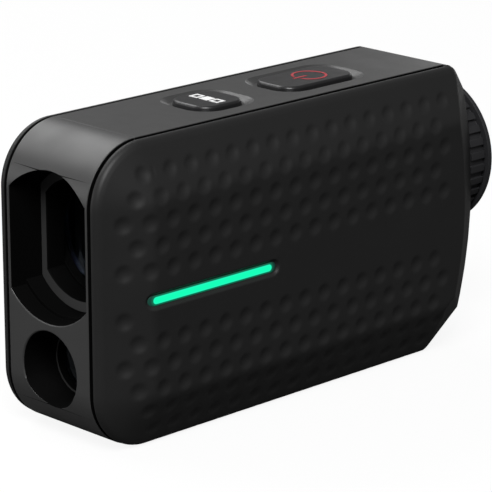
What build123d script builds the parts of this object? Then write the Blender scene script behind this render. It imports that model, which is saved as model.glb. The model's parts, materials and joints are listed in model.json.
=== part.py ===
"""Palm-size laser rangefinder: a monocular over a laser window, in a slim upright body.

Frame: +X is the left side as the user holds it, +Y runs from the lenses to the eyepiece, +Z is up.
The origin is at the middle of the underside. All sizes are in millimetres.
"""
from build123d import *
import math
import os

os.makedirs("parts", exist_ok=True)

# ---------------------------------------------------------------- driving sizes
overall_length = 98.0
body_height = 54.0
overall_width = 33.3
corner_radius = 11.0
eyepiece_reach = 3.6
body_length = overall_length - eyepiece_reach
frame_margin = 12.7
frame_width = overall_width - frame_margin
half_frame = frame_width / 2

# side outline of the body behind the front corners
bezel_depth = 10.9
top_length = body_length - 6.8
bottom_length = body_length - 12.5
shoulder_length = body_length - 2.9
shoulder_height = body_height - 4.4
shoulder_reach = 1.2
shoulder_rounding = 2.15
shoulder_least = 0.5
heel_length = body_length - 3.3

# how far each rear corner moves forwards and inwards for each mm that the outline is inset
heel_forward = 0.7
heel_inward = 0.5
shoulder_forward = 0.67
shoulder_inward = 0.7
top_forward = 0.235

# side panels: a short rim wall, then facets that rise to a flat face
reveal_width = 0.9
rim_wall = 1.0
facet_draw = 9.5
rear_draw = 7.0
cover_thickness = 1.3
shell_wall = 1.3
face_softening = 1.0
rim_rounding = 0.5
rim_x = half_frame + reveal_width
break_x = rim_x + rim_wall
face_x = overall_width / 2
facet_turn = math.atan2(facet_draw, face_x - break_x)
shell_inner_x = face_x - cover_thickness - shell_wall

# dimples of the grip covers
dimple_pitch = 4.84
dimple_row_pitch = 4.2
dimple_radius = 1.4
dimple_depth = 0.35
dimple_start = 13.57
dimple_top_row = body_height - 13.0
dimple_count = 15
dimple_rows = 8
bare_rows = (3, 4)

# centre frame
plate_thickness = 1.6
band_thickness = 1.6
wall_thickness = 1.5
frame_edge = 0.08
band_top = body_height - plate_thickness
band_under = band_top - band_thickness
floor_top = plate_thickness + band_thickness

# clearances, and how far a cutting tool runs past what it cuts
running_fit = 0.06
slide_fit = 0.1
seat_gap = 0.05
overrun = 1.0

# objective: its barrel fills the width inside the shells, and its bore stands round it
barrel_clearance = 2.05
bore_margin = 1.3
barrel_radius = shell_inner_x - barrel_clearance
objective_bore = barrel_radius + bore_margin
objective_flat = half_frame - 0.6
bore_step_station = 3.5
bore_step = 0.6
seat_bore = objective_bore - bore_step
hood_station = 7.0
hood_radius = barrel_radius - 1.4
hood_flat = objective_flat - 1.6
hood_bevel = 0.15
lens_radius = barrel_radius - 1.15
barrel_bore = lens_radius - 0.65
light_window = barrel_bore - 1.4
barrel_step = 1.0
lens_front = 12.9
lens_joint = 14.4
lens_back = 17.1
front_bulge = 1.9
joint_bulge = 0.9
rear_bulge = 0.6

# laser
laser_bore = 7.0
laser_throat = 5.8
laser_seat_station = 6.5
laser_tube_radius = 6.6
laser_lens_radius = 6.0
laser_clear_radius = 5.4
laser_lens_front = 7.9
laser_lens_back = 9.7
laser_lens_bulge = 0.6
diode_radius = 2.8
diode_shoulder = 0.4
diode_can_radius = 2.2
diode_can_length = 1.0
laser_board_reach = 6.0

# the height that the two windows leave is shared between the margins over, between and under them
spare_height = body_height - 2 * objective_bore - 2 * laser_bore
under_share = 0.4478
web_share = 0.1045
laser_height = under_share * spare_height + laser_bore
optical_height = laser_height + laser_bore + web_share * spare_height + objective_bore

# stations along the inside, counted forwards from the eyepiece tube
pocket_floor = body_length - 2.0
tube_back = pocket_floor + 3.9
tube_front = tube_back - 15.8
housing_back = tube_front - 6.0
housing_front = housing_back - 28.0
battery_front = housing_front - 2.6
battery_back = bottom_length - 5.8
barrel_end = battery_front - 9.0
diode_front = barrel_end - 6.4

# controls
button_width = 10.0
button_recess_width = 14.2
button_top = body_height + 0.35
button_travel = 0.45
mode_length = 10.5
power_length = 17.8
power_station = top_length - 25.8
mode_share = 0.6052
mode_station = mode_share * power_station
button_radius = 3.0
recess_margin = 2.05
recess_radius = 4.8
recess_depth = 0.7
floor_margin = 0.6
flange_margin = 0.8
flange_room = 0.5
button_edge = 0.5
flange_thickness = 0.7
stem_radius = 1.8
plunger_radius = 1.3
plunger_top = body_height - 2.9
switch_size = 5.0
switch_height = 1.4
switch_floor = 0.3
print_thickness = 0.05
symbol_line = 0.45
symbol_tile = 2.1
symbol_tiles = 3
power_symbol_station = power_station + 1.1
power_symbol_radius = 3.3
power_symbol_gap = 1.9
power_stem_middle = 2.31

# button board and battery shelf
tongue_length = 2.0
battery_half_width = half_frame - 1.8
battery_swell = 0.4
battery_rounding = 1.5
shelf_top = 16.8
post_radius = 2.0
post_places = ((20.0, body_height - 5.0), (top_length - 6.1, body_height - 5.0),
               (battery_front - 3.6, 5.0), (battery_back + 3.4, 5.0))
board_half_width = half_frame - 2.3
board_top = body_height - 5.0
board_thickness = 0.8
board_ribs = (mode_station - 9.1, mode_station + 9.2, power_station + 10.8)

# screws
screw_radius = 0.8
screw_head_radius = 1.4
screw_head = 0.8
screw_bite = 3.0
screw_seat_x = shell_inner_x - 2.55
small_screw_radius = 0.6
small_screw_head = 0.6
small_screw_head_radius = 1.0
bezel_screw_reach = half_frame - 3.5
bezel_screw_heights = (5.0, body_height - 4.7)

# eyepiece
ring_radius = 14.3
ring_clearance = 0.4
rib_radius = 13.7
rib_count = 34
rib_depth = 0.6
rib_width = 1.2
neck_length = 0.4
neck_depth = 0.8
tube_radius = half_frame - 0.7
tube_bore = tube_radius - 1.0
tube_flange = 1.5
flange_radius = tube_radius + 3.2
rear_wall = 2.2
rear_plate = 1.8
seal_thickness = 0.3
tube_screw_circle = tube_radius + 2.0
tube_screw_count = 4
tube_screw_turn = 45
tube_screw_bite = 1.2
flange_rim_front = overall_length - 1.5
ring_back_face = overall_length - 0.6
ring_lip_radius = tube_radius - 0.7
eyecup_inset = 0.4
eyecup_edge = 0.2
eye_lens_radius = tube_bore - 1.1
cell_back = tube_back - 1.0
cell_front = cell_back - 10.8
cell_shoulder = 0.8
cell_lip = eye_lens_radius - 0.8
field_back = cell_front + 3.0
field_bulge = 0.7
spacer_bore = eye_lens_radius - 0.7
eye_front = cell_back - 4.2
eye_back = eye_front + 2.6
eye_bulge = 0.9

# light bar in the left panel
light_front = 8.7
light_back = barrel_end + 2.6
light_height = optical_height - 7.55
light_width = 2.6
light_margin = 0.5
light_recess = 0.4
light_flange_x = shell_inner_x - 0.65
light_board_x = shell_inner_x - 1.55
light_board_end = 1.2
light_board_edge = 1.0
light_peg_stations = (light_front + 4.3, light_back - 2.0)
light_peg_reach = 3.3
led_count = 6
led_pitch = (light_back - light_front - 6.3) / (led_count - 1)
led_length = 1.8
led_width = 1.4
peg_radius = 0.7

# main board in the right panel
peg_inset = 2.0
main_board_x = shell_inner_x - 1.15
main_board_stations = (barrel_end + 2.6, housing_back + 0.5)
main_board_heights = (14.0, body_height - 12.0)
main_peg_stations = (main_board_stations[0] + peg_inset, main_board_stations[1] - peg_inset)
main_peg_heights = (main_board_heights[0] + peg_inset, main_board_heights[1] - peg_inset)
chip_row = main_board_heights[1] - 9.0
processor_place = (main_board_stations[0] + 10.0, chip_row)
processor_size = 9.0
memory_place = (main_board_stations[0] + 23.0, chip_row)
memory_size = 6.0
small_chip_places = [(main_board_stations[0] + 10.0 + 9.5 * i, 20.5) for i in range(3)]
small_chip_size = 3.4
chip_rise = 1.0

# prism, receiver and display
housing_half_width = half_frame - 0.7
housing_bottom = shelf_top + 6.2
housing_top = board_top - board_thickness - 1.8
housing_wall = 1.2
leg_length = 2.5
prism_half_width = housing_half_width - 1.6
prism_floor = housing_bottom + housing_wall
prism_height = housing_top - prism_floor - 2.7
prism_shoulder = 6.5
prism_slope = 8.1
prism_gap = 0.6
prism_edge = 0.4
prism_window = prism_half_width - 0.2
roof_chamfer = 0.6 * prism_half_width
receiver_radius = 2.7
receiver_length = 2.4
receiver_station = housing_front + 6.0
receiver_window = 2.1
receiver_board_half_length = 5.0
receiver_board_half_height = 6.0
display_thickness = 1.0
display_half_width = housing_half_width - 2.6
display_half_height = 6.0
display_window = 5.4
holder_thickness = 2.4

# charging port
port_half_width = 6.0
port_top = optical_height - ring_radius - ring_clearance - 2.1
port_bottom = port_top - 8.6
port_lid = 1.2
port_room = 0.2
knuckle_radius = 0.75
port_cheek = 1.6
port_block_front = heel_length - 4.1
pin_radius = 0.35
pin_fit = 0.02
pin_bite = 1.2
pin_station = body_length - 3.15
socket_width = 8.94
socket_height = 3.16
socket_length = 7.3
socket_station = heel_length + 0.3
socket_wall = 0.3
socket_level = port_top - 4.3
contact_half_width = 3.3
contact_thickness = 0.7
contact_setback = 1.0
heel_height = port_bottom - 2.7
back_height = (shoulder_height + heel_height) / 2 + 0.8

# vibration motor
motor_radius = 2.6
motor_front = housing_front + 7.0
motor_length = 8.0
motor_height = shelf_top + motor_radius
motor_shaft_radius = 0.4
weight_radius = 2.3
weight_length = 2.6
weight_gap = 0.4
weight_hub = 0.9
shaft_end = 1.0

front = -overall_length / 2


def station(distance):
    """Y of a place given by its distance behind the front face."""
    return front + distance


def side_outline(inset, rear_inset):
    """Side outline of the body, inset all round, as a flat sketch with Y across and Z up."""
    radius = corner_radius - inset
    low = inset
    high = body_height - inset
    bottom_start = (station(corner_radius), low)
    bottom_end = (station(bottom_length), low)
    heel = (station(heel_length) - heel_forward * rear_inset, heel_height + heel_inward * inset)
    back = (station(body_length) - rear_inset, back_height)
    shoulder = (station(shoulder_length) - shoulder_forward * rear_inset,
                shoulder_height - shoulder_inward * inset)
    top_corner = (station(top_length + shoulder_reach) - top_forward * inset, high)
    top_start = (station(corner_radius), high)
    nose_top = (station(inset), body_height - corner_radius)
    nose_bottom = (station(inset), corner_radius)
    with BuildSketch() as outline:
        with BuildLine():
            Line(bottom_start, bottom_end)
            Line(bottom_end, heel)
            ThreePointArc(heel, back, shoulder)
            Line(shoulder, top_corner)
            Line(top_corner, top_start)
            RadiusArc(top_start, nose_top, -radius)
            Line(nose_top, nose_bottom)
            RadiusArc(nose_bottom, bottom_start, -radius)
        make_face()
        fillet(outline.vertices().sort_by_distance(Vector(*top_corner))[0],
               radius=max(shoulder_rounding - inset, shoulder_least))
    return outline.sketch


def outline_slab(inset, half_width):
    """The side outline as a slab across the middle of the body."""
    with BuildPart() as slab:
        with BuildSketch(Plane.YZ):
            add(side_outline(inset, inset))
        extrude(amount=half_width, both=True)
    return slab.part


def side_layer(depth, start):
    """Everything of the left side that lies deeper than depth below its skin, from start out."""
    wall_end = break_x - depth * math.tan(facet_turn / 2)
    face_shift = depth * math.tan((math.pi / 2 - facet_turn) / 2)
    with BuildPart() as layer:
        with BuildSketch(Plane.YZ.offset(start)):
            add(side_outline(depth, depth))
        extrude(amount=wall_end - start)
        with BuildSketch(Plane.YZ.offset(wall_end)):
            add(side_outline(depth, depth))
        with BuildSketch(Plane.YZ.offset(face_x - depth)):
            add(side_outline(facet_draw + face_shift, rear_draw + face_shift))
        loft(ruled=True)
    return layer.part


def turned(points, axis_height):
    """A body of revolution about one optical axis, from (station, radius) points."""
    with BuildPart() as body:
        with BuildSketch(Plane.YZ):
            with BuildLine():
                Polyline([(station(y), axis_height + r) for y, r in points], close=True)
            make_face()
        revolve(axis=Axis((0, 0, axis_height), (0, 1, 0)))
    return body.part


def ring(near, far, inner, outer, axis_height):
    """A plain ring between two stations."""
    return turned([(near, inner), (far, inner), (far, outer), (near, outer)], axis_height)


def disc(near, far, radius, axis_height):
    """A plain round slug between two stations."""
    return ring(near, far, 0, radius, axis_height)


def block(x_range, y_range, z_range):
    """A box between two corners, with Y given as distances behind the front face."""
    with BuildPart() as body:
        middle = station(sum(y_range) / 2)
        with BuildSketch(Plane.XY.offset(z_range[0])):
            with Locations((sum(x_range) / 2, middle)):
                Rectangle(x_range[1] - x_range[0], y_range[1] - y_range[0])
        extrude(amount=z_range[1] - z_range[0])
    return body.part


def lens(near, far, radius, near_bulge, far_bulge, axis_height):
    """A round lens: edge faces at near and far, and each face's bulge outwards on the axis."""
    def face_arc(edge, bulge):
        curve = (radius ** 2 + bulge ** 2) / (2 * abs(bulge))
        half = math.asin(radius / curve) / 2
        sign = math.copysign(1, bulge)
        tip = edge + bulge
        middle = tip - sign * curve * (1 - math.cos(half))
        return tip, (middle, curve * math.sin(half))
    near_tip, near_middle = face_arc(-near, near_bulge)
    far_tip, far_middle = face_arc(far, far_bulge)

    def place(y, r):
        return (station(y), axis_height + r)
    with BuildPart() as body:
        with BuildSketch(Plane.YZ):
            with BuildLine():
                ThreePointArc(place(-near_tip, 0), place(-near_middle[0], near_middle[1]),
                              place(near, radius))
                Line(place(near, radius), place(far, radius))
                ThreePointArc(place(far, radius), place(*far_middle), place(far_tip, 0))
                Line(place(far_tip, 0), place(-near_tip, 0))
            make_face()
        revolve(axis=Axis((0, 0, axis_height), (0, 1, 0)))
    return body.part


def face_relief(radius, bulge, inner):
    """How far a bulged lens face stands beyond its edge at a smaller radius."""
    curve = (radius ** 2 + bulge ** 2) / (2 * bulge)
    return math.sqrt(curve ** 2 - inner ** 2) - math.sqrt(curve ** 2 - radius ** 2)


def flatted(solid, half_width):
    """The solid cut to two flats, one each side of the middle plane."""
    with BuildPart() as body:
        add(solid)
        add(block((-half_width, half_width), (-overrun, overall_length + overrun),
                  (-overrun, body_height + overrun)), mode=Mode.INTERSECT)
    return body.part


def post_circles(radius):
    """A circle at each side post, with Y across and Z up."""
    with BuildSketch() as circles:
        with Locations(*[(station(y), z) for y, z in post_places]):
            Circle(radius)
    return circles.sketch


def bezel_circles(radius):
    """A circle at each bezel screw, seen from the front."""
    with BuildSketch() as circles:
        for row_height in bezel_screw_heights:
            with Locations((-bezel_screw_reach, row_height), (bezel_screw_reach, row_height)):
                Circle(radius)
    return circles.sketch


def tube_circles(radius):
    """A circle at each eyepiece tube screw, seen from the front."""
    with BuildSketch() as circles:
        with Locations((0, optical_height)):
            with PolarLocations(tube_screw_circle, tube_screw_count, start_angle=tube_screw_turn):
                Circle(radius)
    return circles.sketch


def bar_outline(margin):
    """The light bar's outline with a margin all round, with Y across and Z up."""
    with BuildSketch() as outline:
        with Locations((station((light_front + light_back) / 2), light_height)):
            SlotOverall(light_back - light_front + 2 * margin, light_width + 2 * margin)
    return outline.sketch


def save(builder, name):
    """Label a finished piece and write it."""
    builder.part.label = name
    export_step(builder.part, f"parts/{name}.step")


# ---------------------------------------------------------------- front bezel
def window_loft(near, near_radius, near_flat, far, far_radius, far_flat):
    """A round window with two side flats that narrows from one station to another."""
    with BuildPart() as body:
        for place, radius, flat in ((near, near_radius, near_flat), (far, far_radius, far_flat)):
            with BuildSketch(Plane.XZ.offset(-station(place))):
                with Locations((0, optical_height)):
                    Circle(radius)
                    Rectangle(2 * flat, 3 * radius, mode=Mode.INTERSECT)
        loft(ruled=True)
    return body.part


with BuildPart() as front_bezel:
    add(outline_slab(0, half_frame))
    add(block((-half_frame, half_frame), (bezel_depth, overall_length), (0, body_height)),
        mode=Mode.SUBTRACT)
    for side_edges in (front_bezel.edges().group_by(Axis.X)[0],
                       front_bezel.edges().group_by(Axis.X)[-1]):
        rim = side_edges.filter_by(lambda edge: edge.center().Y < station(bezel_depth) - seat_gap)
        chamfer(rim, length=frame_edge)
    add(flatted(turned([(-overrun, 0), (-overrun, objective_bore), (bore_step_station, objective_bore),
                        (bore_step_station, seat_bore), (bezel_depth + overrun, seat_bore),
                        (bezel_depth + overrun, 0)], optical_height), objective_flat),
        mode=Mode.SUBTRACT)
    add(turned([(-overrun, 0), (-overrun, laser_bore), (0, laser_bore),
                (laser_seat_station, laser_throat), (laser_seat_station, laser_tube_radius + seat_gap),
                (bezel_depth + overrun, laser_tube_radius + seat_gap), (bezel_depth + overrun, 0)],
               laser_height), mode=Mode.SUBTRACT)
    with BuildSketch(Plane.XZ.offset(-station(bezel_depth))):
        add(bezel_circles(screw_radius))
    extrude(amount=screw_bite, mode=Mode.SUBTRACT)
save(front_bezel, "front_bezel")

# ---------------------------------------------------------------- top and bottom plates
with BuildPart() as top_plate:
    add(block((-half_frame, half_frame), (bezel_depth + seat_gap, top_length),
              (band_top, body_height)))
    long_edges = top_plate.edges().filter_by(Axis.Y).group_by(Axis.Z)[-1]
    chamfer(long_edges, length=frame_edge)
    for centre, length in ((mode_station, mode_length), (power_station, power_length)):
        with BuildSketch(Plane.XY.offset(body_height)):
            with Locations((0, station(centre))):
                RectangleRounded(button_recess_width, length + 2 * recess_margin, recess_radius)
        with BuildSketch(Plane.XY.offset(body_height - recess_depth)):
            with Locations((0, station(centre))):
                RectangleRounded(button_width + 2 * floor_margin, length + 2 * floor_margin,
                                 button_radius + floor_margin)
        loft(ruled=True, mode=Mode.SUBTRACT)
        with BuildSketch(Plane.XY.offset(body_height)):
            with Locations((0, station(centre))):
                RectangleRounded(button_width + 2 * slide_fit, length + 2 * slide_fit,
                                 button_radius + slide_fit)
        extrude(amount=-plate_thickness, mode=Mode.SUBTRACT)
save(top_plate, "top_plate")

with BuildPart() as bottom_plate:
    add(block((-half_frame, half_frame), (bezel_depth + seat_gap, bottom_length),
              (0, plate_thickness)))
    chamfer(bottom_plate.edges().filter_by(Axis.Y).group_by(Axis.Z)[0], length=frame_edge)
save(bottom_plate, "bottom_plate")

# ---------------------------------------------------------------- inner chassis
with BuildPart() as chassis:
    band_length = top_length - tongue_length
    add(block((-half_frame, half_frame), (bezel_depth, band_length), (band_under, band_top)))
    add(block((-half_frame, half_frame), (bezel_depth, bottom_length), (plate_thickness, floor_top)))
    add(block((-half_frame, half_frame), (bezel_depth, bezel_depth + wall_thickness),
              (floor_top, band_under)))
    add(block((-half_frame, half_frame), (barrel_end - wall_thickness, barrel_end),
              (floor_top, band_under)))
    add(block((-half_frame, half_frame), (battery_front - wall_thickness, battery_front),
              (floor_top, band_under)))
    add(block((-half_frame, half_frame), (battery_back, battery_back + wall_thickness),
              (floor_top, shelf_top)))
    add(block((-half_frame, half_frame), (battery_front, battery_back),
              (shelf_top - wall_thickness, shelf_top)))
    add(block((-board_half_width - seat_gap, board_half_width + seat_gap),
              (board_ribs[0] - seat_gap, board_ribs[-1] + wall_thickness + seat_gap),
              (board_top - board_thickness - seat_gap, band_under)), mode=Mode.SUBTRACT)
    for rib in board_ribs:
        add(block((-board_half_width, board_half_width), (rib, rib + wall_thickness),
                  (board_top, band_under)))
    with BuildSketch(Plane.YZ.offset(-half_frame)):
        add(post_circles(post_radius))
    extrude(amount=frame_width)
    for centre, length in ((mode_station, mode_length), (power_station, power_length)):
        with BuildSketch(Plane.XY.offset(band_top)):
            with Locations((0, station(centre))):
                Rectangle(button_width + 2 * (flange_margin + flange_room),
                          length + 2 * (flange_margin + flange_room))
        extrude(amount=-band_thickness, mode=Mode.SUBTRACT)
    add(disc(bezel_depth - overrun, barrel_end + overrun, barrel_radius + seat_gap, optical_height),
        mode=Mode.SUBTRACT)
    add(disc(bezel_depth - overrun, barrel_end + overrun, laser_tube_radius + seat_gap, laser_height),
        mode=Mode.SUBTRACT)
    add(disc(barrel_end, battery_front + overrun, light_window, optical_height),
        mode=Mode.SUBTRACT)
    for side in (-1, 1):
        with BuildSketch(Plane.YZ.offset(side * half_frame)):
            add(post_circles(screw_radius))
        extrude(amount=-side * screw_bite, mode=Mode.SUBTRACT)
    with BuildSketch(Plane.XZ.offset(-station(bezel_depth + wall_thickness))):
        add(bezel_circles(screw_radius))
    extrude(amount=wall_thickness, mode=Mode.SUBTRACT)
save(chassis, "chassis")

with BuildPart() as bezel_screws:
    with BuildSketch(Plane.XZ.offset(-station(bezel_depth + wall_thickness))):
        add(bezel_circles(screw_head_radius))
    extrude(amount=-screw_head)
    with BuildSketch(Plane.XZ.offset(-station(bezel_depth + wall_thickness))):
        add(bezel_circles(screw_radius))
    extrude(amount=wall_thickness + screw_bite)
save(bezel_screws, "bezel_screws")

# ---------------------------------------------------------------- grip covers with dimples
dimple_ball = (dimple_radius ** 2 + dimple_depth ** 2) / (2 * dimple_depth)


def dimple_places(skipped_rows):
    """Ball centres that press the staggered rows of dimples into the left face."""
    reach = face_x + dimple_ball - dimple_depth
    places = []
    for row in range(dimple_rows):
        first = dimple_start - (row % 2) * dimple_pitch / 2
        height = dimple_top_row - row * dimple_row_pitch
        if row not in skipped_rows:
            places += [(reach, station(first + dimple_pitch * i), height)
                       for i in range(dimple_count)]
    return places


ring_pocket = disc(pocket_floor, overall_length + overrun, ring_radius + ring_clearance,
                   optical_height)

with BuildPart() as skin:
    add(side_layer(0, rim_x))
    fillet(skin.edges().group_by(Axis.X)[-1], radius=face_softening)
    fillet(skin.edges().group_by(Axis.X)[0], radius=rim_rounding)
    add(side_layer(cover_thickness, rim_x), mode=Mode.SUBTRACT)
    add(ring_pocket, mode=Mode.SUBTRACT)

with BuildPart() as left_grip_cover:
    add(skin.part)
    with Locations(*dimple_places(bare_rows)):
        Sphere(dimple_ball, mode=Mode.SUBTRACT)
    with BuildSketch(Plane.YZ.offset(face_x)):
        add(bar_outline(light_margin))
    extrude(amount=-light_recess, mode=Mode.SUBTRACT)
    with BuildSketch(Plane.YZ.offset(face_x)):
        add(bar_outline(seat_gap))
    extrude(amount=-2 * cover_thickness, mode=Mode.SUBTRACT)
save(left_grip_cover, "left_grip_cover")

with BuildPart() as right_grip_cover:
    add(skin.part)
    with Locations(*dimple_places(())):
        Sphere(dimple_ball, mode=Mode.SUBTRACT)
    mirror(about=Plane.YZ, mode=Mode.REPLACE)
save(right_grip_cover, "right_grip_cover")

# ---------------------------------------------------------------- hard side shells
with BuildPart() as plain_shell:
    add(side_layer(cover_thickness, half_frame))
    add(side_layer(cover_thickness + shell_wall, half_frame), mode=Mode.SUBTRACT)
    with BuildPart(mode=Mode.PRIVATE) as bosses:
        with BuildSketch(Plane.YZ.offset(half_frame)):
            add(post_circles(post_radius))
        extrude(amount=shell_inner_x - half_frame)
        add(side_layer(cover_thickness, half_frame), mode=Mode.INTERSECT)
    add(bosses.part)
    with BuildSketch(Plane.YZ.offset(screw_seat_x)):
        add(post_circles(screw_head_radius + slide_fit))
    extrude(amount=face_x - screw_seat_x, mode=Mode.SUBTRACT)
    with BuildSketch(Plane.YZ.offset(half_frame)):
        add(post_circles(screw_radius + seat_gap))
    extrude(amount=screw_seat_x - half_frame, mode=Mode.SUBTRACT)
    add(ring_pocket, mode=Mode.SUBTRACT)
    add(disc(tube_front, tube_back, tube_radius + seat_gap, optical_height), mode=Mode.SUBTRACT)

with BuildPart() as left_side_shell:
    add(plain_shell.part)
    with BuildSketch(Plane.YZ.offset(light_board_x)):
        with Locations(*[(station(y), light_height + side * light_peg_reach)
                         for y in light_peg_stations for side in (-1, 1)]):
            Circle(peg_radius)
    extrude(amount=shell_inner_x - light_board_x)
    with BuildSketch(Plane.YZ.offset(face_x)):
        add(bar_outline(seat_gap))
    extrude(amount=light_board_x - face_x, mode=Mode.SUBTRACT)
save(left_side_shell, "left_side_shell")

with BuildPart() as right_side_shell:
    add(plain_shell.part)
    with BuildSketch(Plane.YZ.offset(main_board_x)):
        with Locations(*[(station(y), z) for y in main_peg_stations for z in main_peg_heights]):
            Circle(peg_radius)
    extrude(amount=shell_inner_x - main_board_x)
    mirror(about=Plane.YZ, mode=Mode.REPLACE)
save(right_side_shell, "right_side_shell")

with BuildPart() as shell_screws:
    for side in (-1, 1):
        for near, far, radius in ((screw_seat_x, screw_seat_x + screw_head, screw_head_radius),
                                  (half_frame - screw_bite, screw_seat_x, screw_radius)):
            with BuildSketch(Plane.YZ.offset(side * near)):
                add(post_circles(radius))
            extrude(amount=side * (far - near))
save(shell_screws, "shell_screws")

# ---------------------------------------------------------------- light bar, its board and lamps
with BuildPart() as light_bar:
    with BuildSketch(Plane.YZ.offset(light_flange_x)):
        add(bar_outline(0))
    extrude(amount=face_x - light_recess - light_flange_x)
save(light_bar, "light_bar")

with BuildPart() as light_board:
    add(block((light_board_x - board_thickness, light_board_x),
              (light_peg_stations[0] - light_board_end, light_peg_stations[1] + light_board_end),
              (light_height - light_peg_reach - light_board_edge,
               light_height + light_peg_reach + light_board_edge)))
save(light_board, "light_board")

with BuildPart() as light_leds:
    with BuildSketch(Plane.YZ.offset(light_board_x)):
        with Locations((station((light_front + light_back) / 2), light_height)):
            with GridLocations(led_pitch, 1, led_count, 1):
                Rectangle(led_length, led_width)
    extrude(amount=light_flange_x - light_board_x - seat_gap)
save(light_leds, "light_leds")

# ---------------------------------------------------------------- buttons, switches, button board
with BuildPart() as button_board:
    add(block((-board_half_width, board_half_width),
              (board_ribs[0], board_ribs[-1] + wall_thickness),
              (board_top - board_thickness, board_top)))
save(button_board, "button_board")


def button(centre, length):
    """A cap with a retaining flange under the top plate and a stem over its switch."""
    with BuildPart() as cap:
        with BuildSketch(Plane.XY.offset(band_top - seat_gap)):
            with Locations((0, station(centre))):
                RectangleRounded(button_width, length, button_radius)
        extrude(amount=button_top - band_top + seat_gap)
        fillet(cap.faces().sort_by(Axis.Z)[-1].edges(), radius=button_edge)
        with BuildSketch(Plane.XY.offset(band_top - seat_gap)):
            with Locations((0, station(centre))):
                RectangleRounded(button_width + 2 * flange_margin, length + 2 * flange_margin,
                                 button_radius + flange_margin)
        extrude(amount=-flange_thickness)
        with BuildSketch(Plane.XY.offset(band_top - seat_gap - flange_thickness)):
            with Locations((0, station(centre))):
                Circle(stem_radius)
        extrude(amount=plunger_top + flange_thickness + seat_gap - band_top)
    return cap.part


def tact_switch(centre):
    """The switch body with the well that its plunger drops into."""
    with BuildPart() as body:
        with BuildSketch(Plane.XY.offset(board_top)):
            with Locations((0, station(centre))):
                Rectangle(switch_size, switch_size)
        extrude(amount=switch_height)
        with BuildSketch(Plane.XY.offset(board_top + switch_height)):
            with Locations((0, station(centre))):
                Circle(plunger_radius + slide_fit)
        extrude(amount=-switch_height + switch_floor, mode=Mode.SUBTRACT)
    return body.part


def plunger(centre):
    """The switch plunger that the button pushes."""
    with BuildPart() as body:
        with BuildSketch(Plane.XY.offset(board_top + switch_floor + button_travel + slide_fit)):
            with Locations((0, station(centre))):
                Circle(plunger_radius)
        extrude(amount=plunger_top - board_top - switch_floor - button_travel - slide_fit)
    return body.part


with BuildPart() as mode_button:
    add(button(mode_station, mode_length))
save(mode_button, "mode_button")
with BuildPart() as power_button:
    add(button(power_station, power_length))
save(power_button, "power_button")
with BuildPart() as mode_switch:
    add(tact_switch(mode_station))
save(mode_switch, "mode_switch")
with BuildPart() as power_switch:
    add(tact_switch(power_station))
save(power_switch, "power_switch")
with BuildPart() as mode_plunger:
    add(plunger(mode_station))
save(mode_plunger, "mode_plunger")
with BuildPart() as power_plunger:
    add(plunger(power_station))
save(power_plunger, "power_plunger")

with BuildPart() as mode_symbol:
    with BuildSketch(Plane.XY.offset(button_top)):
        with Locations((0, station(mode_station))):
            with GridLocations(symbol_tile + symbol_line, 1, symbol_tiles, 1):
                Rectangle(symbol_tile, symbol_tile)
            with GridLocations((symbol_tiles - 1) * (symbol_tile + symbol_line), 1, 2, 1):
                Rectangle(symbol_tile - 2 * symbol_line, symbol_tile - 2 * symbol_line,
                          mode=Mode.SUBTRACT)
    extrude(amount=print_thickness)
save(mode_symbol, "mode_symbol")

with BuildPart() as power_symbol:
    with BuildSketch(Plane.XY.offset(button_top)):
        with Locations((0, station(power_symbol_station))):
            Circle(power_symbol_radius)
            Circle(power_symbol_radius - symbol_line, mode=Mode.SUBTRACT)
        with Locations((0, station(power_symbol_station) - power_symbol_radius)):
            Rectangle(power_symbol_gap, power_symbol_radius, mode=Mode.SUBTRACT)
        with Locations((0, station(power_symbol_station) - power_stem_middle)):
            Rectangle(symbol_line, power_symbol_radius)
    extrude(amount=print_thickness)
save(power_symbol, "power_symbol")

# ---------------------------------------------------------------- objective
with BuildPart() as objective_hood:
    add(flatted(ring(hood_station, bezel_depth, 0, seat_bore - seat_gap, optical_height),
                objective_flat - seat_gap))
    add(window_loft(hood_station, hood_radius + hood_bevel, hood_flat + hood_bevel,
                    hood_station + hood_bevel, hood_radius, hood_flat), mode=Mode.SUBTRACT)
    add(window_loft(hood_station + hood_bevel, hood_radius, hood_flat,
                    bezel_depth, hood_radius, hood_flat), mode=Mode.SUBTRACT)
save(objective_hood, "objective_hood")

with BuildPart() as objective_barrel:
    add(turned([(bezel_depth, lens_radius + seat_gap), (lens_back, lens_radius + seat_gap),
                (lens_back, barrel_bore), (lens_back + barrel_step, barrel_bore),
                (barrel_end, light_window), (barrel_end, barrel_radius),
                (bezel_depth, barrel_radius)], optical_height))
save(objective_barrel, "objective_barrel")

with BuildPart() as objective_lock_ring:
    ring_back = lens_front - face_relief(lens_radius, front_bulge, barrel_bore)
    add(ring(bezel_depth, ring_back, barrel_bore, lens_radius, optical_height))
save(objective_lock_ring, "objective_lock_ring")

with BuildPart() as objective_front_lens:
    add(lens(lens_front, lens_joint, lens_radius, front_bulge, joint_bulge, optical_height))
save(objective_front_lens, "objective_front_lens")

with BuildPart() as objective_rear_lens:
    rear_edge = lens_back - face_relief(lens_radius, rear_bulge, barrel_bore)
    add(lens(lens_joint + seat_gap, rear_edge, lens_radius, -joint_bulge, rear_bulge,
             optical_height))
save(objective_rear_lens, "objective_rear_lens")

# ---------------------------------------------------------------- laser
laser_relief = face_relief(laser_lens_radius, laser_lens_bulge, laser_clear_radius)
with BuildPart() as laser_tube:
    add(turned([(laser_seat_station, laser_lens_radius + seat_gap),
                (laser_lens_back, laser_lens_radius + seat_gap),
                (laser_lens_back, laser_clear_radius),
                (diode_front, diode_radius + diode_shoulder), (diode_front, diode_radius + seat_gap),
                (barrel_end, diode_radius + seat_gap), (barrel_end, laser_tube_radius),
                (laser_seat_station, laser_tube_radius)], laser_height))
save(laser_tube, "laser_tube")

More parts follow.
